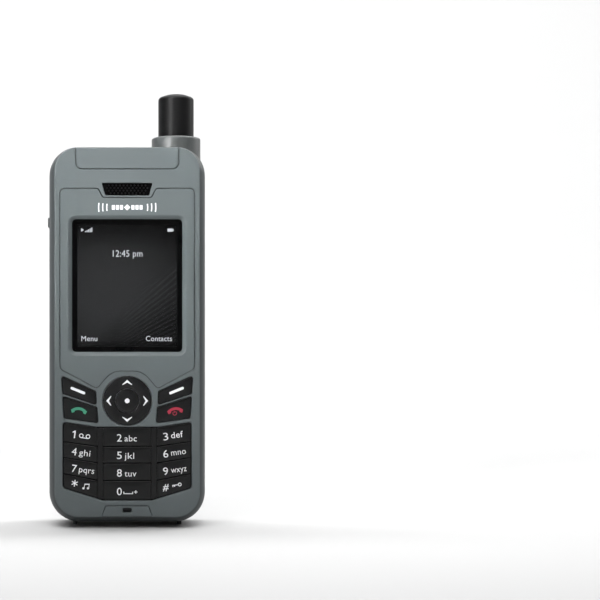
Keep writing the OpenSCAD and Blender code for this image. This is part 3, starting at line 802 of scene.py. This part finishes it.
# signal bars, a pointer and a battery in the top line, the clock, and the soft keys' words
ICON_Y = PICTURE_Y - 0.03
WORDS_Z = 62.2
status = []
for k in range(5):
    x = -14.1 + 0.52 * k
    status.append(chip(box_outline(x, 98.6, x + 0.36, 98.95 + 0.29 * k, 0.05, 2), ICON_Y))
status += [
    chip(rounded([(-15.4, 98.7, 0.1), (-14.45, 99.35, 0.1), (-15.4, 100.0, 0.1)], 3), ICON_Y),
    chip(box_outline(13.45, 98.75, 15.25, 99.8, 0.12, 3), ICON_Y),
    chip(box_outline(15.3, 99.0, 15.55, 99.55, 0.05, 2), ICON_Y),
    letters("12:45 pm", (0.15, 90.4), ICON_Y, 2.2, 9.9),
    letters("Menu", (-12.65, WORDS_Z), ICON_Y, 1.75, 5.3),
    letters("Contacts", (10.6, WORDS_Z), ICON_Y, 1.75, 8.7),
]
piece(joined("display_figures", status), "root", "screen", screen_white)

# mark above the window: a small satellite between signal arcs
MARK = (0.0, 106.65)


def mark_chip(outline):
    """Part of the mark, its back sunk in the panel."""
    return slab("chip", outline, FACE_Y, FACE_Y + 6 * INK)


mark = [mark_chip(turned(box_outline(-0.72, -0.72, 0.72, 0.72, 0.1, 3), MARK, radians(45)))]
for side in (-1, 1):
    for k in range(3):
        x = MARK[0] + side * (1.9 + 1.35 * k)
        mark.append(mark_chip(box_outline(x - 0.5, MARK[1] - 0.75, x + 0.5, MARK[1] + 0.75, 0.08, 3)))
    for k in range(3):
        r, around, reach = 6.8 + 1.35 * k, 90 - 90 * side, 10 - 0.5 * k
        mark.append(mark_chip(arc_band(MARK, r - 0.19, r + 0.19, around - reach, around + reach, 12)))
piece(joined("surround_mark", mark), "root", "surround", white_ink)

# ---- speaker mesh ----

mesh_low, mesh_high = span("earpiece_mesh")
grille = slab("speaker_mesh", face_loops("earpiece_mesh", mesh_low.y)[0], mesh_low.y, mesh_high.y)
holes = []
PITCH, ROW_PITCH, HOLE_R = 1.22, 0.86, 0.33
for row in range(4):
    z = mesh_high.z - 0.8 - row * ROW_PITCH
    half = mesh_high.x - 0.95 - (mesh_high.z - z) * 0.3
    x = PITCH / 2 * (row % 2) - PITCH * floor((half + PITCH / 2 * (row % 2)) / PITCH)
    while x < half:
        holes.append(cylinder("hole", HOLE_R, mesh_low.y - 0.5, mesh_high.y + 0.5, (x, z), "y", 12))
        x += PITCH
combine(grille, [joined("holes", holes)])
piece(grille, "root", "mesh", mesh_paint, "earpiece_mesh")

# ---- keys ----

KEY_T = 1.15                   # from the top of a key to the underside of its cap
STEM_R = 1.2
CROWN = 0.12                   # how far the middle of a key stands above its rim
KEY_EDGE = 0.18


def key_cap(node):
    """Key with a rounded rim and a softly crowned top, and the plunger under it."""
    low, high = span(node)
    loop = grown(face_loops(node, low.y)[0], -0.05)
    centre = tuple(np.mean(np.array(loop), 0))
    top = low.y + CROWN
    sections = [(loop, low.y + KEY_T), (loop, top + KEY_EDGE)]
    sections += [(grown(loop, -i), top + d) for i, d in reversed(quarter(KEY_EDGE, 4)[:-1])]
    rim = sections[-1][0]
    for k in (0.95, 0.88, 0.78, 0.66, 0.52, 0.36, 0.18, 0.05):
        sections.append((scaled(rim, centre, k), top - CROWN * (1 - k ** 2.4)))
    cap = loft(node + "_cap", sections)
    stem = cylinder("stem", STEM_R, low.y + 1.1, high.y, centre, "y", 32)
    return joined(node + "_cap", [cap, stem])


def surface_of(obj):
    """The object's faces, ready for finding what lies under a print."""
    bm = bmesh.new()
    bm.from_mesh(obj.data)
    bmesh.ops.triangulate(bm, faces=bm.faces)
    tree = BVHTree.FromBMesh(bm)
    bm.free()
    return tree


PRINT_Y = FACE_Y - 1           # prints are drawn here, then laid on their key
LIFT = 0.03                    # how far the middle of a print's thickness stands off its key


def laid_on(print_obj, tree):
    """Bends a flat print onto the surface below it."""
    for v in print_obj.data.vertices:
        hit = tree.ray_cast(Vector((v.co.x, PRINT_Y * MM, v.co.z)), Vector((0, 1, 0)))
        if hit[0] is not None:
            v.co.y = hit[0].y + (v.co.y - PRINT_Y * MM) - LIFT * MM
    return print_obj


def stamps(outlines, centre, turn):
    """Prints with outlines drawn around one origin, turned and moved to their place."""
    return [chip(turned(outline, centre, turn), PRINT_Y) for outline in outlines]


def ring_sign(x, z, r):
    return arc_band((x, z), r - 0.27, r, 0, 359.5)


def bar_sign(x0, z0, x1, z1):
    return box_outline(x0, z0, x1, z1, 0.05, 2)


def star_sign():
    """Asterisk with six arms."""
    reach, half = 1.12, 0.16
    star = []
    for k in range(6):
        star += turned([(reach, -half), (reach, half)], (0, 0), radians(60 * k + 30))
        t = radians(60 * k + 60)
        star.append((2 * half * cos(t), 2 * half * sin(t)))
    return star


# outlines of the signs, around the origin or to the right of it
LOBE = rounded([(-0.52, -0.55, 0.2), (0.52, -0.55, 0.2), (0.45, 0.6, 0.2), (-0.45, 0.6, 0.2)], 4)
HANDSET = [arc_band((0, -2.75), 2.75, 3.65, 49, 131)]
HANDSET += [turned(LOBE, (side * 2.03, -0.5), -side * 0.42) for side in (-1, 1)]
POWER = [arc_band((0, 0), 0.5, 0.74, 120, 420), bar_sign(-0.12, 0.15, 0.12, 0.85)]
SOFT_BAR = [box_outline(-2.6, -0.44, 2.6, 0.44, 0.43, 8)]
TAPE = [ring_sign(0.75, 0.85, 0.75), ring_sign(3.0, 0.85, 0.75), bar_sign(0.75, 0.1, 3.0, 0.36)]
NOTES = [circle(head, 0.38, 20) for head in ((1.25, 0.1), (2.75, 0.3))]
NOTES += [bar_sign(x, z, x + 0.22, z + 1.5) for x, z in ((1.4, 0.1), (2.9, 0.3))]
NOTES.append([(1.4, 1.3), (3.12, 1.52), (3.12, 1.86), (1.4, 1.64)])
DOOR_KEY = [ring_sign(3.0, 1.5, 0.62), bar_sign(0.45, 1.36, 2.45, 1.64)]
DOOR_KEY += [bar_sign(x, 0.95, x + 0.26, 1.5) for x in (0.55, 1.1)]
SPACE = [bar_sign(-0.35, 0.3, 2.85, 0.58)] + [bar_sign(x, 0.3, x + 0.28, 1.1) for x in (-0.35, 2.57)]
PLUS = [bar_sign(3.2, 0.86, 4.3, 1.14), bar_sign(3.61, 0.45, 3.89, 1.55)]
BARB = [(5.4, 1.72, 0.1), (5.3, 1.45, 0.1)]
CHEVRON = rounded([(7.0, 0, 0.12), *BARB, (6.1, 0, 0.15), *[(x, -z, r) for x, z, r in reversed(BARB)]], 3)
DIGIT_1 = [(0.38, 0), (0.38, 2.5), (0.02, 2.5), (-0.62, 2.1), (-0.62, 1.68), (-0.04, 1.98), (-0.04, 0)]

TILT = radians(7.5)       # turn of the legends in the outer columns


def key_mid(node, x):
    """Height of the middle of a key at that x."""
    loop = face_loops(node, span(node)[0].y)[0]
    heights = []
    for (x0, z0), (x1, z1) in zip(loop, loop[1:] + loop[:1]):
        if (x0 - x) * (x1 - x) < 0:
            heights.append(z0 + (z1 - z0) * (x - x0) / (x1 - x0))
    return (min(heights) + max(heights)) / 2


# digit, letters or signs for each number key, then the width of the letters
LEGENDS = {
    "key_1": ("1", TAPE, 0), "key_2": ("2", "abc", 4.1), "key_3": ("3", "def", 4.0),
    "key_4": ("4", "ghi", 3.75), "key_5": ("5", "jkl", 3.2), "key_6": ("6", "mno", 4.95),
    "key_7": ("7", "pqrs", 5.1), "key_8": ("8", "tuv", 3.95), "key_9": ("9", "wxyz", 5.2),
    "key_star": ("*", NOTES, 0), "key_0": ("0", SPACE + PLUS, 0), "key_hash": ("#", DOOR_KEY, 0),
}
DIGIT_H, DIGIT_W, LETTER_H = 2.5, 1.65, 2.05
# for each column: where the digit stands, how far to its right the letters start, and how far above its foot
COLUMNS = {-1: (-17.75, 1.65, 0.25), 0: (-2.6, 1.7, 0.05), 1: (12.95, 1.75, 0.35)}


def number_legend(node):
    digit, extra, width = LEGENDS[node]
    at = middle(node)
    column = 0 if abs(at.x) < 5 else (1 if at.x > 0 else -1)
    digit_x, gap, rise = COLUMNS[column]
    turn = TILT * column
    drop = 0.1 if digit in "456" else 0.3
    foot = (digit_x, key_mid(node, digit_x) - drop - DIGIT_H / 2)
    if digit == "1":
        parts = stamps([DIGIT_1], foot, turn)
    elif digit == "*":
        parts = stamps([star_sign()], (foot[0] + 0.3, foot[1] + 1.65), turn)
    elif digit == "#":
        parts = [letters("#", (foot[0], foot[1] + 0.55), PRINT_Y, 2.2, 2.2, turn, 0.012, 0.25)]
    else:
        parts = [letters(digit, foot, PRINT_Y, DIGIT_H, DIGIT_W, turn)]
    nudge = 0.3 if extra is NOTES else 0
    start = (foot[0] + gap * cos(turn) + nudge, foot[1] + gap * sin(turn) + rise)
    if isinstance(extra, str):
        return parts + [letters(extra, start, PRINT_Y, LETTER_H, width, turn, align="LEFT")]
    return parts + stamps(extra, start, turn)


def finish_key(node, cap, prints, ink=white_ink):
    tree = surface_of(cap)
    piece(cap, node, "keycap", key_plastic, node)
    piece(laid_on(joined(node + "_legend", prints), tree), node, "keycap", ink)


for node in LEGENDS:
    finish_key(node, key_cap(node), number_legend(node))

SOFT_TILT, CALL_TILT = radians(-22), radians(-7)
for side, node in ((1, "soft_key_left"), (-1, "soft_key_right")):
    finish_key(node, key_cap(node), stamps(SOFT_BAR, (-side * 16.4, 45.75), side * SOFT_TILT))
finish_key("call_key", key_cap("call_key"), stamps(HANDSET, (-16.0, 39.3), CALL_TILT), green_ink)
end_sign = stamps(HANDSET, (15.9, 39.3), -CALL_TILT) + stamps(POWER, (15.8, 38.2), -CALL_TILT)
finish_key("end_key", key_cap("end_key"), end_sign, red_ink)

nav_low, nav_high = span("nav_ring")
select_low, select_high = span("select_key")
NAV_R, SELECT_R = nav_high.x, select_high.x
NAV_AT = (NAV.x, NAV.z)
PIN_R, PIN_REACH = 0.7, 7.2
under, hole_r = nav_low.y + KEY_T, SELECT_R + 0.16
ring = turning("nav_ring_cap", [
    (hole_r, under, 0.05), (NAV_R, under, 0.05), (NAV_R, nav_low.y + 0.12, 0.32),
    (NAV_R * 0.78, nav_low.y, 6), (SELECT_R + 0.85, nav_low.y + 0.1, 1.5),
    (hole_r, nav_low.y + 0.2, 0.08)], NAV_AT, "y", 128)
pins = [ring]
arrows = []
for k in range(4):
    t = pi / 2 * k
    at = (NAV.x + PIN_REACH * cos(t), NAV.z + PIN_REACH * sin(t))
    pins.append(cylinder("pin", PIN_R, nav_low.y + 1.1, nav_high.y, at, "y", 20))
    arrows += stamps([CHEVRON], NAV_AT, t)
finish_key("nav_ring", joined("nav_ring_cap", pins), arrows)

select = turning("select_cap", [
    (0.0, select_low.y + 1.1, 0.02), (SELECT_R, select_low.y + 1.1, 0.05),
    (SELECT_R, select_low.y + 0.16, 0.08), (SELECT_R * 0.6, select_low.y, 4),
    (0.0, select_low.y + 0.02, 0.02)], NAV_AT)
stem = cylinder("stem", STEM_R, select_low.y + 1.05, select_high.y, NAV_AT, "y", 32)
finish_key("select_key", joined("select_cap", [select, stem]), [chip(circle(NAV_AT, 0.8, 32), PRINT_Y)])

# key mat, with the two ribs that fill the gaps between the columns of number keys
mat = placed("key_mat_ribbed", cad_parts["keymat"].data.copy())
ribs = []
left, right = span("key_5")[1].x, span("key_6")[0].x
low, high = span("key_0")[0].z, span("key_2")[1].z
for side in (-1, 1):
    rib = [(left + 0.02, low + 0.1), (right - 0.02, low + 0.62), (right - 0.02, high - 0.08),
           (left + 0.02, high - 0.08)]
    rib = [(side * x, z, 0.15) for x, z in rib][::side]
    ribs.append(tablet("rib", rounded(rib, 3), FACE_Y + 0.2, POCKET_Y + 0.1, 0.1))
piece(combine(mat, ribs, "UNION"), "root", "rubber", key_plastic, "keymat")

# ---- antenna ----

ant_low, ant_high = span("antenna_radome")
ANT_R = (ant_high.x - ant_low.x) / 2
axis = (ANTENNA.x, ANTENNA.y)
inner_r, inner_z = 5.0, ant_high.z - 3
radome = turning("antenna_cover_tube", [
    (inner_r, ant_low.z, 0.02), (ANT_R, ant_low.z, 0.02), (ANT_R, ant_high.z - 1.25, 1.15),
    (ANT_R * 0.5, ant_high.z - 0.1, 6), (0.0, ant_high.z, 0.02), (0.0, inner_z, 0.02), (inner_r, inner_z, 1)],
    axis, "z", 128)
piece(radome, "antenna", "antenna_cover", antenna_plastic, "antenna_radome")

col_low, col_high = span("antenna_collar")
COL_R = (col_high.x - col_low.x) / 2
BORE_R = ANT_R + 0.07
GUIDE_R = 6.95
COLLAR_Z0 = 121.8
collar = turning("collar_ring", [
    (BORE_R, col_low.z, 0.02), (GUIDE_R, col_low.z, 0.02), (GUIDE_R, COLLAR_Z0, 0.02),
    (COL_R, COLLAR_Z0, 0.1), (COL_R, col_high.z, 0.7), (BORE_R, col_high.z, 0.35)], axis, "z", 128)
piece(collar, "root", "collar", collar_plastic, "antenna_collar")

# ---- rear housing ----


def rear_form(name):
    """Outer form of the rear half: widest near the front, its back edge rounded."""
    sections = [(body_outline(*lean(y)), y) for y in (SEAL_Y, (SEAL_Y + WIDEST_Y) / 2, WIDEST_Y)]
    sections.append((body_outline(), BACK_Y - REAR_EDGE_D))
    steps = 12                 # along the rounded edge
    for k in range(1, steps + 1):
        t = pi / 2 * k / steps
        inset = REAR_EDGE_W * (1 - cos(t))
        sections.append((body_outline(inset, inset, inset), BACK_Y - REAR_EDGE_D * (1 - sin(t))))
    return loft(name, sections)


SPINE_R = SPINE_Y - ANTENNA.y
SPINE_Z0 = 66.8
ROOM_X = 7.2                   # right side of the hollow above the battery bay
SCREW_PLACES = ((-15.5, 7.4), (15.5, 7.4), (-19.8, 56.3), (19.8, 56.3), (-21.2, 118.3))
rear = rear_form("rear_housing_shell")
spine = turning("spine", [
    (0.0, SPINE_Z0, 0.02), (SPINE_R * 0.72, SPINE_Z0, 2.0), (SPINE_R, SPINE_Z0 + 5.5, 5),
    (SPINE_R, COLLAR_Z0, 0.25), (0.0, COLLAR_Z0, 0.02)], axis, "z", 128)
combine(rear, [spine], "UNION")

cavity = slab("cavity", grown(body_outline(), -WALL), SEAL_Y - 1, FLOOR_Y0)
upper = brick("upper", (-HALF_W + WALL, SEAL_Y - 1, 65.2), (ROOM_X, BACK_Y - WALL, 116))
top = brick("top", (-HALF_W + 8, SEAL_Y - 1, 110), (ROOM_X, BACK_Y - WALL, BODY_Z1 - 4))
combine(cavity, [upper, top], "UNION")
tube = cylinder("tube", COL_R, 61.0, BODY_Z1 + 2, axis, "z", 64)
port_block = brick("port_block", (-HALF_W, -5.9, 81.5), (-22.6, 3.2, 106.5))
combine(cavity, [tube, port_block])

cover_loop = face_loops("battery_cover", BACK_Y)[0]
COVER_Y = span("battery_cover")[0].y
LOCK = middle("cover_lock")
LOCK_AT = (LOCK.x, LOCK.z)
bay_z1 = span("cover_seal")[1].z
cuts = [
    cavity,
    opening(grown(cover_loop, 0.12), BACK_Y, COVER_Y, 0.15),
    opening(outline_around("cover_seal", 0.2, 1.0, 6), COVER_Y, FLOOR_Y1, 0.12),
    brick("contact_slot", (-6.2, span("battery_pack")[0].y - 0.3, bay_z1 - 1), (6.2, 7.2, 66.5)),
    brick("card_slot", (-5.2, 0, 46.8), (5.2, 3, 55.2)),
    brick("keyhole", (-3.3, BACK_Y - 2.5, LOCK.z - 1.25), (3.3, COVER_Y + 1, LOCK.z + 1.25)),
    cylinder("shaft_hole", 1.8, BACK_Y - 2.6, COVER_Y + 1, LOCK_AT),
    cylinder("ear_room", 3.7, BACK_Y - 4.5, BACK_Y - 2.5, LOCK_AT),
    cylinder("bore", GUIDE_R, 70.2, COLLAR_Z0 + 1, axis, "z", 96),
    cylinder("seat", COL_R + 0.06, COLLAR_Z0, BODY_Z1 + 4, axis, "z", 128),
]

flap_low, flap_high = span("port_flap")
FLAP_T, FLAP_R = 1.2, 2.2
FLAP_GAP, RECESS_LIP = 0.2, 0.15


def side_outline(gap, r_low=0.6):
    """Outline of the flap in y and z, larger than it by the gap."""
    y0, z0 = flap_low.y - gap, flap_low.z - gap
    y1, z1 = flap_high.y + gap, flap_high.z + gap
    return rounded([(y0, z0, r_low), (y1, z0, r_low), (y1, z1, FLAP_R + gap), (y0, z1, FLAP_R + gap)], 8)


recess = [(side_outline(FLAP_GAP + RECESS_LIP), -HALF_W - 1)]
recess += [(side_outline(FLAP_GAP + i), -HALF_W + d) for i, d in quarter(RECESS_LIP, 4)]
recess.append((side_outline(FLAP_GAP), -HALF_W + FLAP_T + 0.1))
cuts.append(side_loft("port_recess", recess))
jack, usb = middle("audio_jack"), middle("usb_port")
SOCKET_X = -22.0
cuts.append(cylinder("jack_hole", 2.7, -HALF_W, SOCKET_X, (jack.y, jack.z), "x"))
cuts.append(brick("usb_hole", (-HALF_W, usb.y - 1.5, usb.z - 3.8), (SOCKET_X, usb.y + 1.5, usb.z + 3.8)))

SPEAKER = middle("loudspeaker")
SOUND_PITCH = 2.2
sound_profile = rounded([(0.0, BACK_Y - 3, 0.02), (0.6, BACK_Y - 3, 0.02), (0.6, BACK_Y, 0.02),
                         (0.78, BACK_Y + 0.6, 0.02), (0.0, BACK_Y + 0.6, 0.02)], 1)
for row in range(-2, 3):
    for column in range(-2, 3):
        if abs(row) + abs(column) < 4:
            at = (SPEAKER.x + SOUND_PITCH * column, SPEAKER.z + SOUND_PITCH * row)
            cuts.append(lathe("sound_hole", sound_profile, at, "y", 24))

for place in SCREW_PLACES:
    cuts.append(cylinder("screw_well", 1.8, FLOOR_Y1, BACK_Y + 1, place))
combine(rear, cuts)
piece(rear, "root", "rear_shell", rear_shell, "rear_housing")

# ---- battery cover, lock and flap ----

lock_low, lock_high = span("cover_lock")
LOCK_R = (lock_high.x - lock_low.x) / 2
cover = tablet("battery_cover_panel", cover_loop, BACK_Y, COVER_Y, 0.25)
cuts = [opening(circle(LOCK_AT, LOCK_R + 0.07, 72), BACK_Y, COVER_Y - 1, 0.2)]
# grip ridges above the lock: shallow troughs, each a little shorter than the one below
for k in range(7):
    half, z = 9.5 - 0.4 * k, 55.5 + 1.1 * k
    trough = box_outline(-half, z - 0.28, half, z + 0.28, 0.27, 6)
    cuts.append(opening(trough, BACK_Y, BACK_Y - 0.22, 0.15))
combine(cover, cuts)
piece(cover, "battery_cover", "rear_shell", rear_shell, "battery_cover")

lock = turning("cover_lock_disc", [
    (0.0, COVER_Y + 0.1, 0.02), (LOCK_R, COVER_Y + 0.1, 0.02), (LOCK_R, lock_high.y, 0.22),
    (0.0, lock_high.y, 0.02)], LOCK_AT)
coin_slot = box_outline(-2.5, LOCK.z - 0.5, 2.5, LOCK.z + 0.5, 0.45, 8)
combine(lock, [opening(coin_slot, lock_high.y, lock_high.y - 0.7, 0.12)])
shaft = cylinder("shaft", 1.5, lock_low.y, COVER_Y + 0.12, LOCK_AT)
ears = slab("ears", box_outline(-2.9, LOCK.z - 0.9, 2.9, LOCK.z + 0.9, 0.3, 5), lock_low.y, lock_low.y + 1.3)
combine(shaft, [ears], "UNION")
piece(joined("cover_lock_disc", [lock, shaft]), "cover_lock", "steel", lock_steel, "cover_lock")

flap_sections = [(side_outline(-i, 0.3), -HALF_W + 0.2 + d) for i, d in quarter(0.22, 5)]
flap_sections.append((side_outline(0, 0.3), -HALF_W + FLAP_T))
flap = side_loft("port_flap_plate", flap_sections)
TAB_Z0, TAB_Z1, TAB_INSET = 100.7, 104.0, 1.2
tab_loop = box_outline(flap_low.y + TAB_INSET, TAB_Z0, flap_high.y - TAB_INSET, TAB_Z1, 0.7, 6)
tab_sections = [(grown(tab_loop, -i), -HALF_W - 0.35 + d) for i, d in quarter(0.3, 5)]
tab_sections.append((tab_loop, -HALF_W + 0.3))
plug_x0, plug_x1 = -HALF_W + FLAP_T / 2, -23.8
plug = turning("plug", [
    (0.0, plug_x0, 0.02), (2.2, plug_x0, 0.02), (2.2, plug_x1, 0.3), (0.0, plug_x1, 0.02)],
    (jack.y, jack.z), "x", 40)
usb_loop = box_outline(usb.y - 0.5, usb.z - 2.4, usb.y + 0.5, usb.z + 2.2, 0.3, 4)
usb_plug = side_loft("usb_plug", [(usb_loop, x) for x in (plug_x0, -HALF_W + FLAP_T + 0.8)])
combine(flap, [side_loft("tab", tab_sections), plug, usb_plug], "UNION")
piece(flap, "port_flap", "flap", flap_rubber, "port_flap")

# ---- runners and housing seal ----

run_low, run_high = span("base_runners")
RUNNER_HALF = 0.72
runners = []
for side in (-1, 1):
    x = side * (run_high.x - RUNNER_HALF)
    strip = brick("runner", (x - RUNNER_HALF, run_low.y, 0), (x + RUNNER_HALF, run_high.y, BODY_Z0 + 1.2))
    runners.append(combine(bevelled(strip, 0.2), [rear_form("above")]))
piece(joined("base_runner_strips", runners), "root", "rubber", foot_rubber, "base_runners")
seal_outer, seal_inner = (body_outline(*(lean(SPLIT_Y) + inset)) for inset in (0.55, 1.25))
gasket = slab("housing_seal_ring", seal_outer, SPLIT_Y, SEAL_Y)
combine(gasket, [slab("inner", seal_inner, SPLIT_Y - 1, SEAL_Y + 1)])
piece(gasket, "root", "rubber", black_rubber, "housing_seal")

# ---- pieces that keep their CAD shape ----

# material and, in millimetres, how far the edges are softened
KEPT = {
    "display_window": (window_glass, 0), "window_gasket": (border_print, 0), "nav_rocker": (black_rubber, 0),
    "antenna_stop": (antenna_plastic, 0), "antenna_helix": (copper, 0), "antenna_seal": (black_rubber, 0),
    "cover_seal": (black_rubber, 0.1), "housing_screws": (steel, 0.06), "battery_pack": (battery_wrap, 0.5),
    "battery_contacts": (gold, 0.05), "sim_holder": (steel, 0.08), "sim_card": (card_plastic, 0.05),
    "usb_port": (steel, 0.1), "audio_jack": (socket_plastic, 0.1), "mid_frame": (magnesium, 0),
    "lcd_module": (dark_case, 0.2), "dome_sheet": (steel, 0), "keypad_board": (board_green, 0),
    "main_board": (board_green, 0), "shield_cans": (steel, 0.1), "gps_patch": (ceramic, 0.1),
    "earpiece_speaker": (dark_case, 0.1), "loudspeaker": (dark_case, 0.1), "microphone": (dark_case, 0.1),
    "vibration_motor": (steel, 0.1), "vibration_weight": (heavy_metal, 0.05),
}
for node, (material, width) in KEPT.items():
    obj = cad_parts[node]
    obj.data.materials.clear()
    obj.data.materials.append(material)
    if width:
        bevelled(obj, width, 4 if width > 0.3 else 2)

# ---- stage, light and camera ----


def floor_paint(value):
    net = Net("pale_floor")
    net.colour(net.mix(net.noise(3, 3), (value * 0.98,) * 3 + (1,), (value,) * 3 + (1,)))
    net.uneven(20, 0.87, 0.9)
    return net.material


def sweep():
    """Floor that curves up into a backdrop, in metres."""
    width, front, back, height, radius, steps = 3.0, -1.6, 1.1, 2.2, 0.7, 16
    path = [(front, 0.0), (back - radius, 0.0)]
    for k in range(1, steps + 1):
        t = pi / 2 * k / steps
        path.append((back - radius + radius * sin(t), radius * (1 - cos(t))))
    path.append((back, height))
    verts = [(x, y, z) for x in (-width, width) for y, z in path]
    n = len(path)
    faces = [(i, i + 1, n + i + 1, n + i) for i in range(n - 1)]
    obj = new_object("floor", verts, faces, 1.0)
    smooth(obj, 60)
    obj.data.materials.append(floor_paint(0.42))
    return obj


sweep()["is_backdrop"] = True


def area_light(name, place, target, size, power, spread=180):
    """Soft rectangular light at a place, aimed at a target: metres, watts and degrees."""
    data = bpy.data.lights.new(name, "AREA")
    data.shape = "RECTANGLE"
    data.size, data.size_y = size
    data.energy = power
    data.spread = radians(spread)
    obj = placed(name, data)
    obj.location = place
    obj.rotation_euler = (Vector(target) - Vector(place)).to_track_quat("-Z", "Y").to_euler()


area_light("top_front", (-0.02, -0.14, 0.27), (0, -0.0135, 0.245), (0.18, 0.06), 0.68)
area_light("left_strip", (-0.36, -0.47, 0.26), (0.01, 0, 0.108), (0.12, 0.12), 0.074, 19)
area_light("right_rim", (0.46, 0.18, 0.34), (0.02, 0, 0.12), (0.16, 0.20), 0.15, 60)
area_light("floor_wash", (0, -0.10, 1.3), (0, -0.10, 0), (2.4, 1.4), 14.5)
area_light("backdrop_wash", (0, 0.35, 1.5), (0, 1.1, 0.35), (2.6, 0.5), 57.0)

world = bpy.data.worlds.new("world")
bpy.context.scene.world = world
world.use_nodes = True
background = world.node_tree.nodes["Background"]
background.inputs["Color"].default_value = (0.92, 0.95, 1.0, 1)
background.inputs["Strength"].default_value = 0.06

camera_data = bpy.data.cameras.new("camera")
camera_data.lens = 90
camera_data.sensor_width = 36
camera_data.shift_x = 0.288
camera_data.shift_y = 0.0575
camera_data.clip_start = 0.01
camera = placed("camera", camera_data)
camera.location = (0, -0.512, 0.0644)
camera.rotation_euler = (radians(90), 0, 0)
bpy.context.scene.camera = camera
bpy.context.scene.view_settings.view_transform = "Standard"

low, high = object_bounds()
{"cad": [list(cad_low), list(cad_high)], "visual": [list(low), list(high)]}
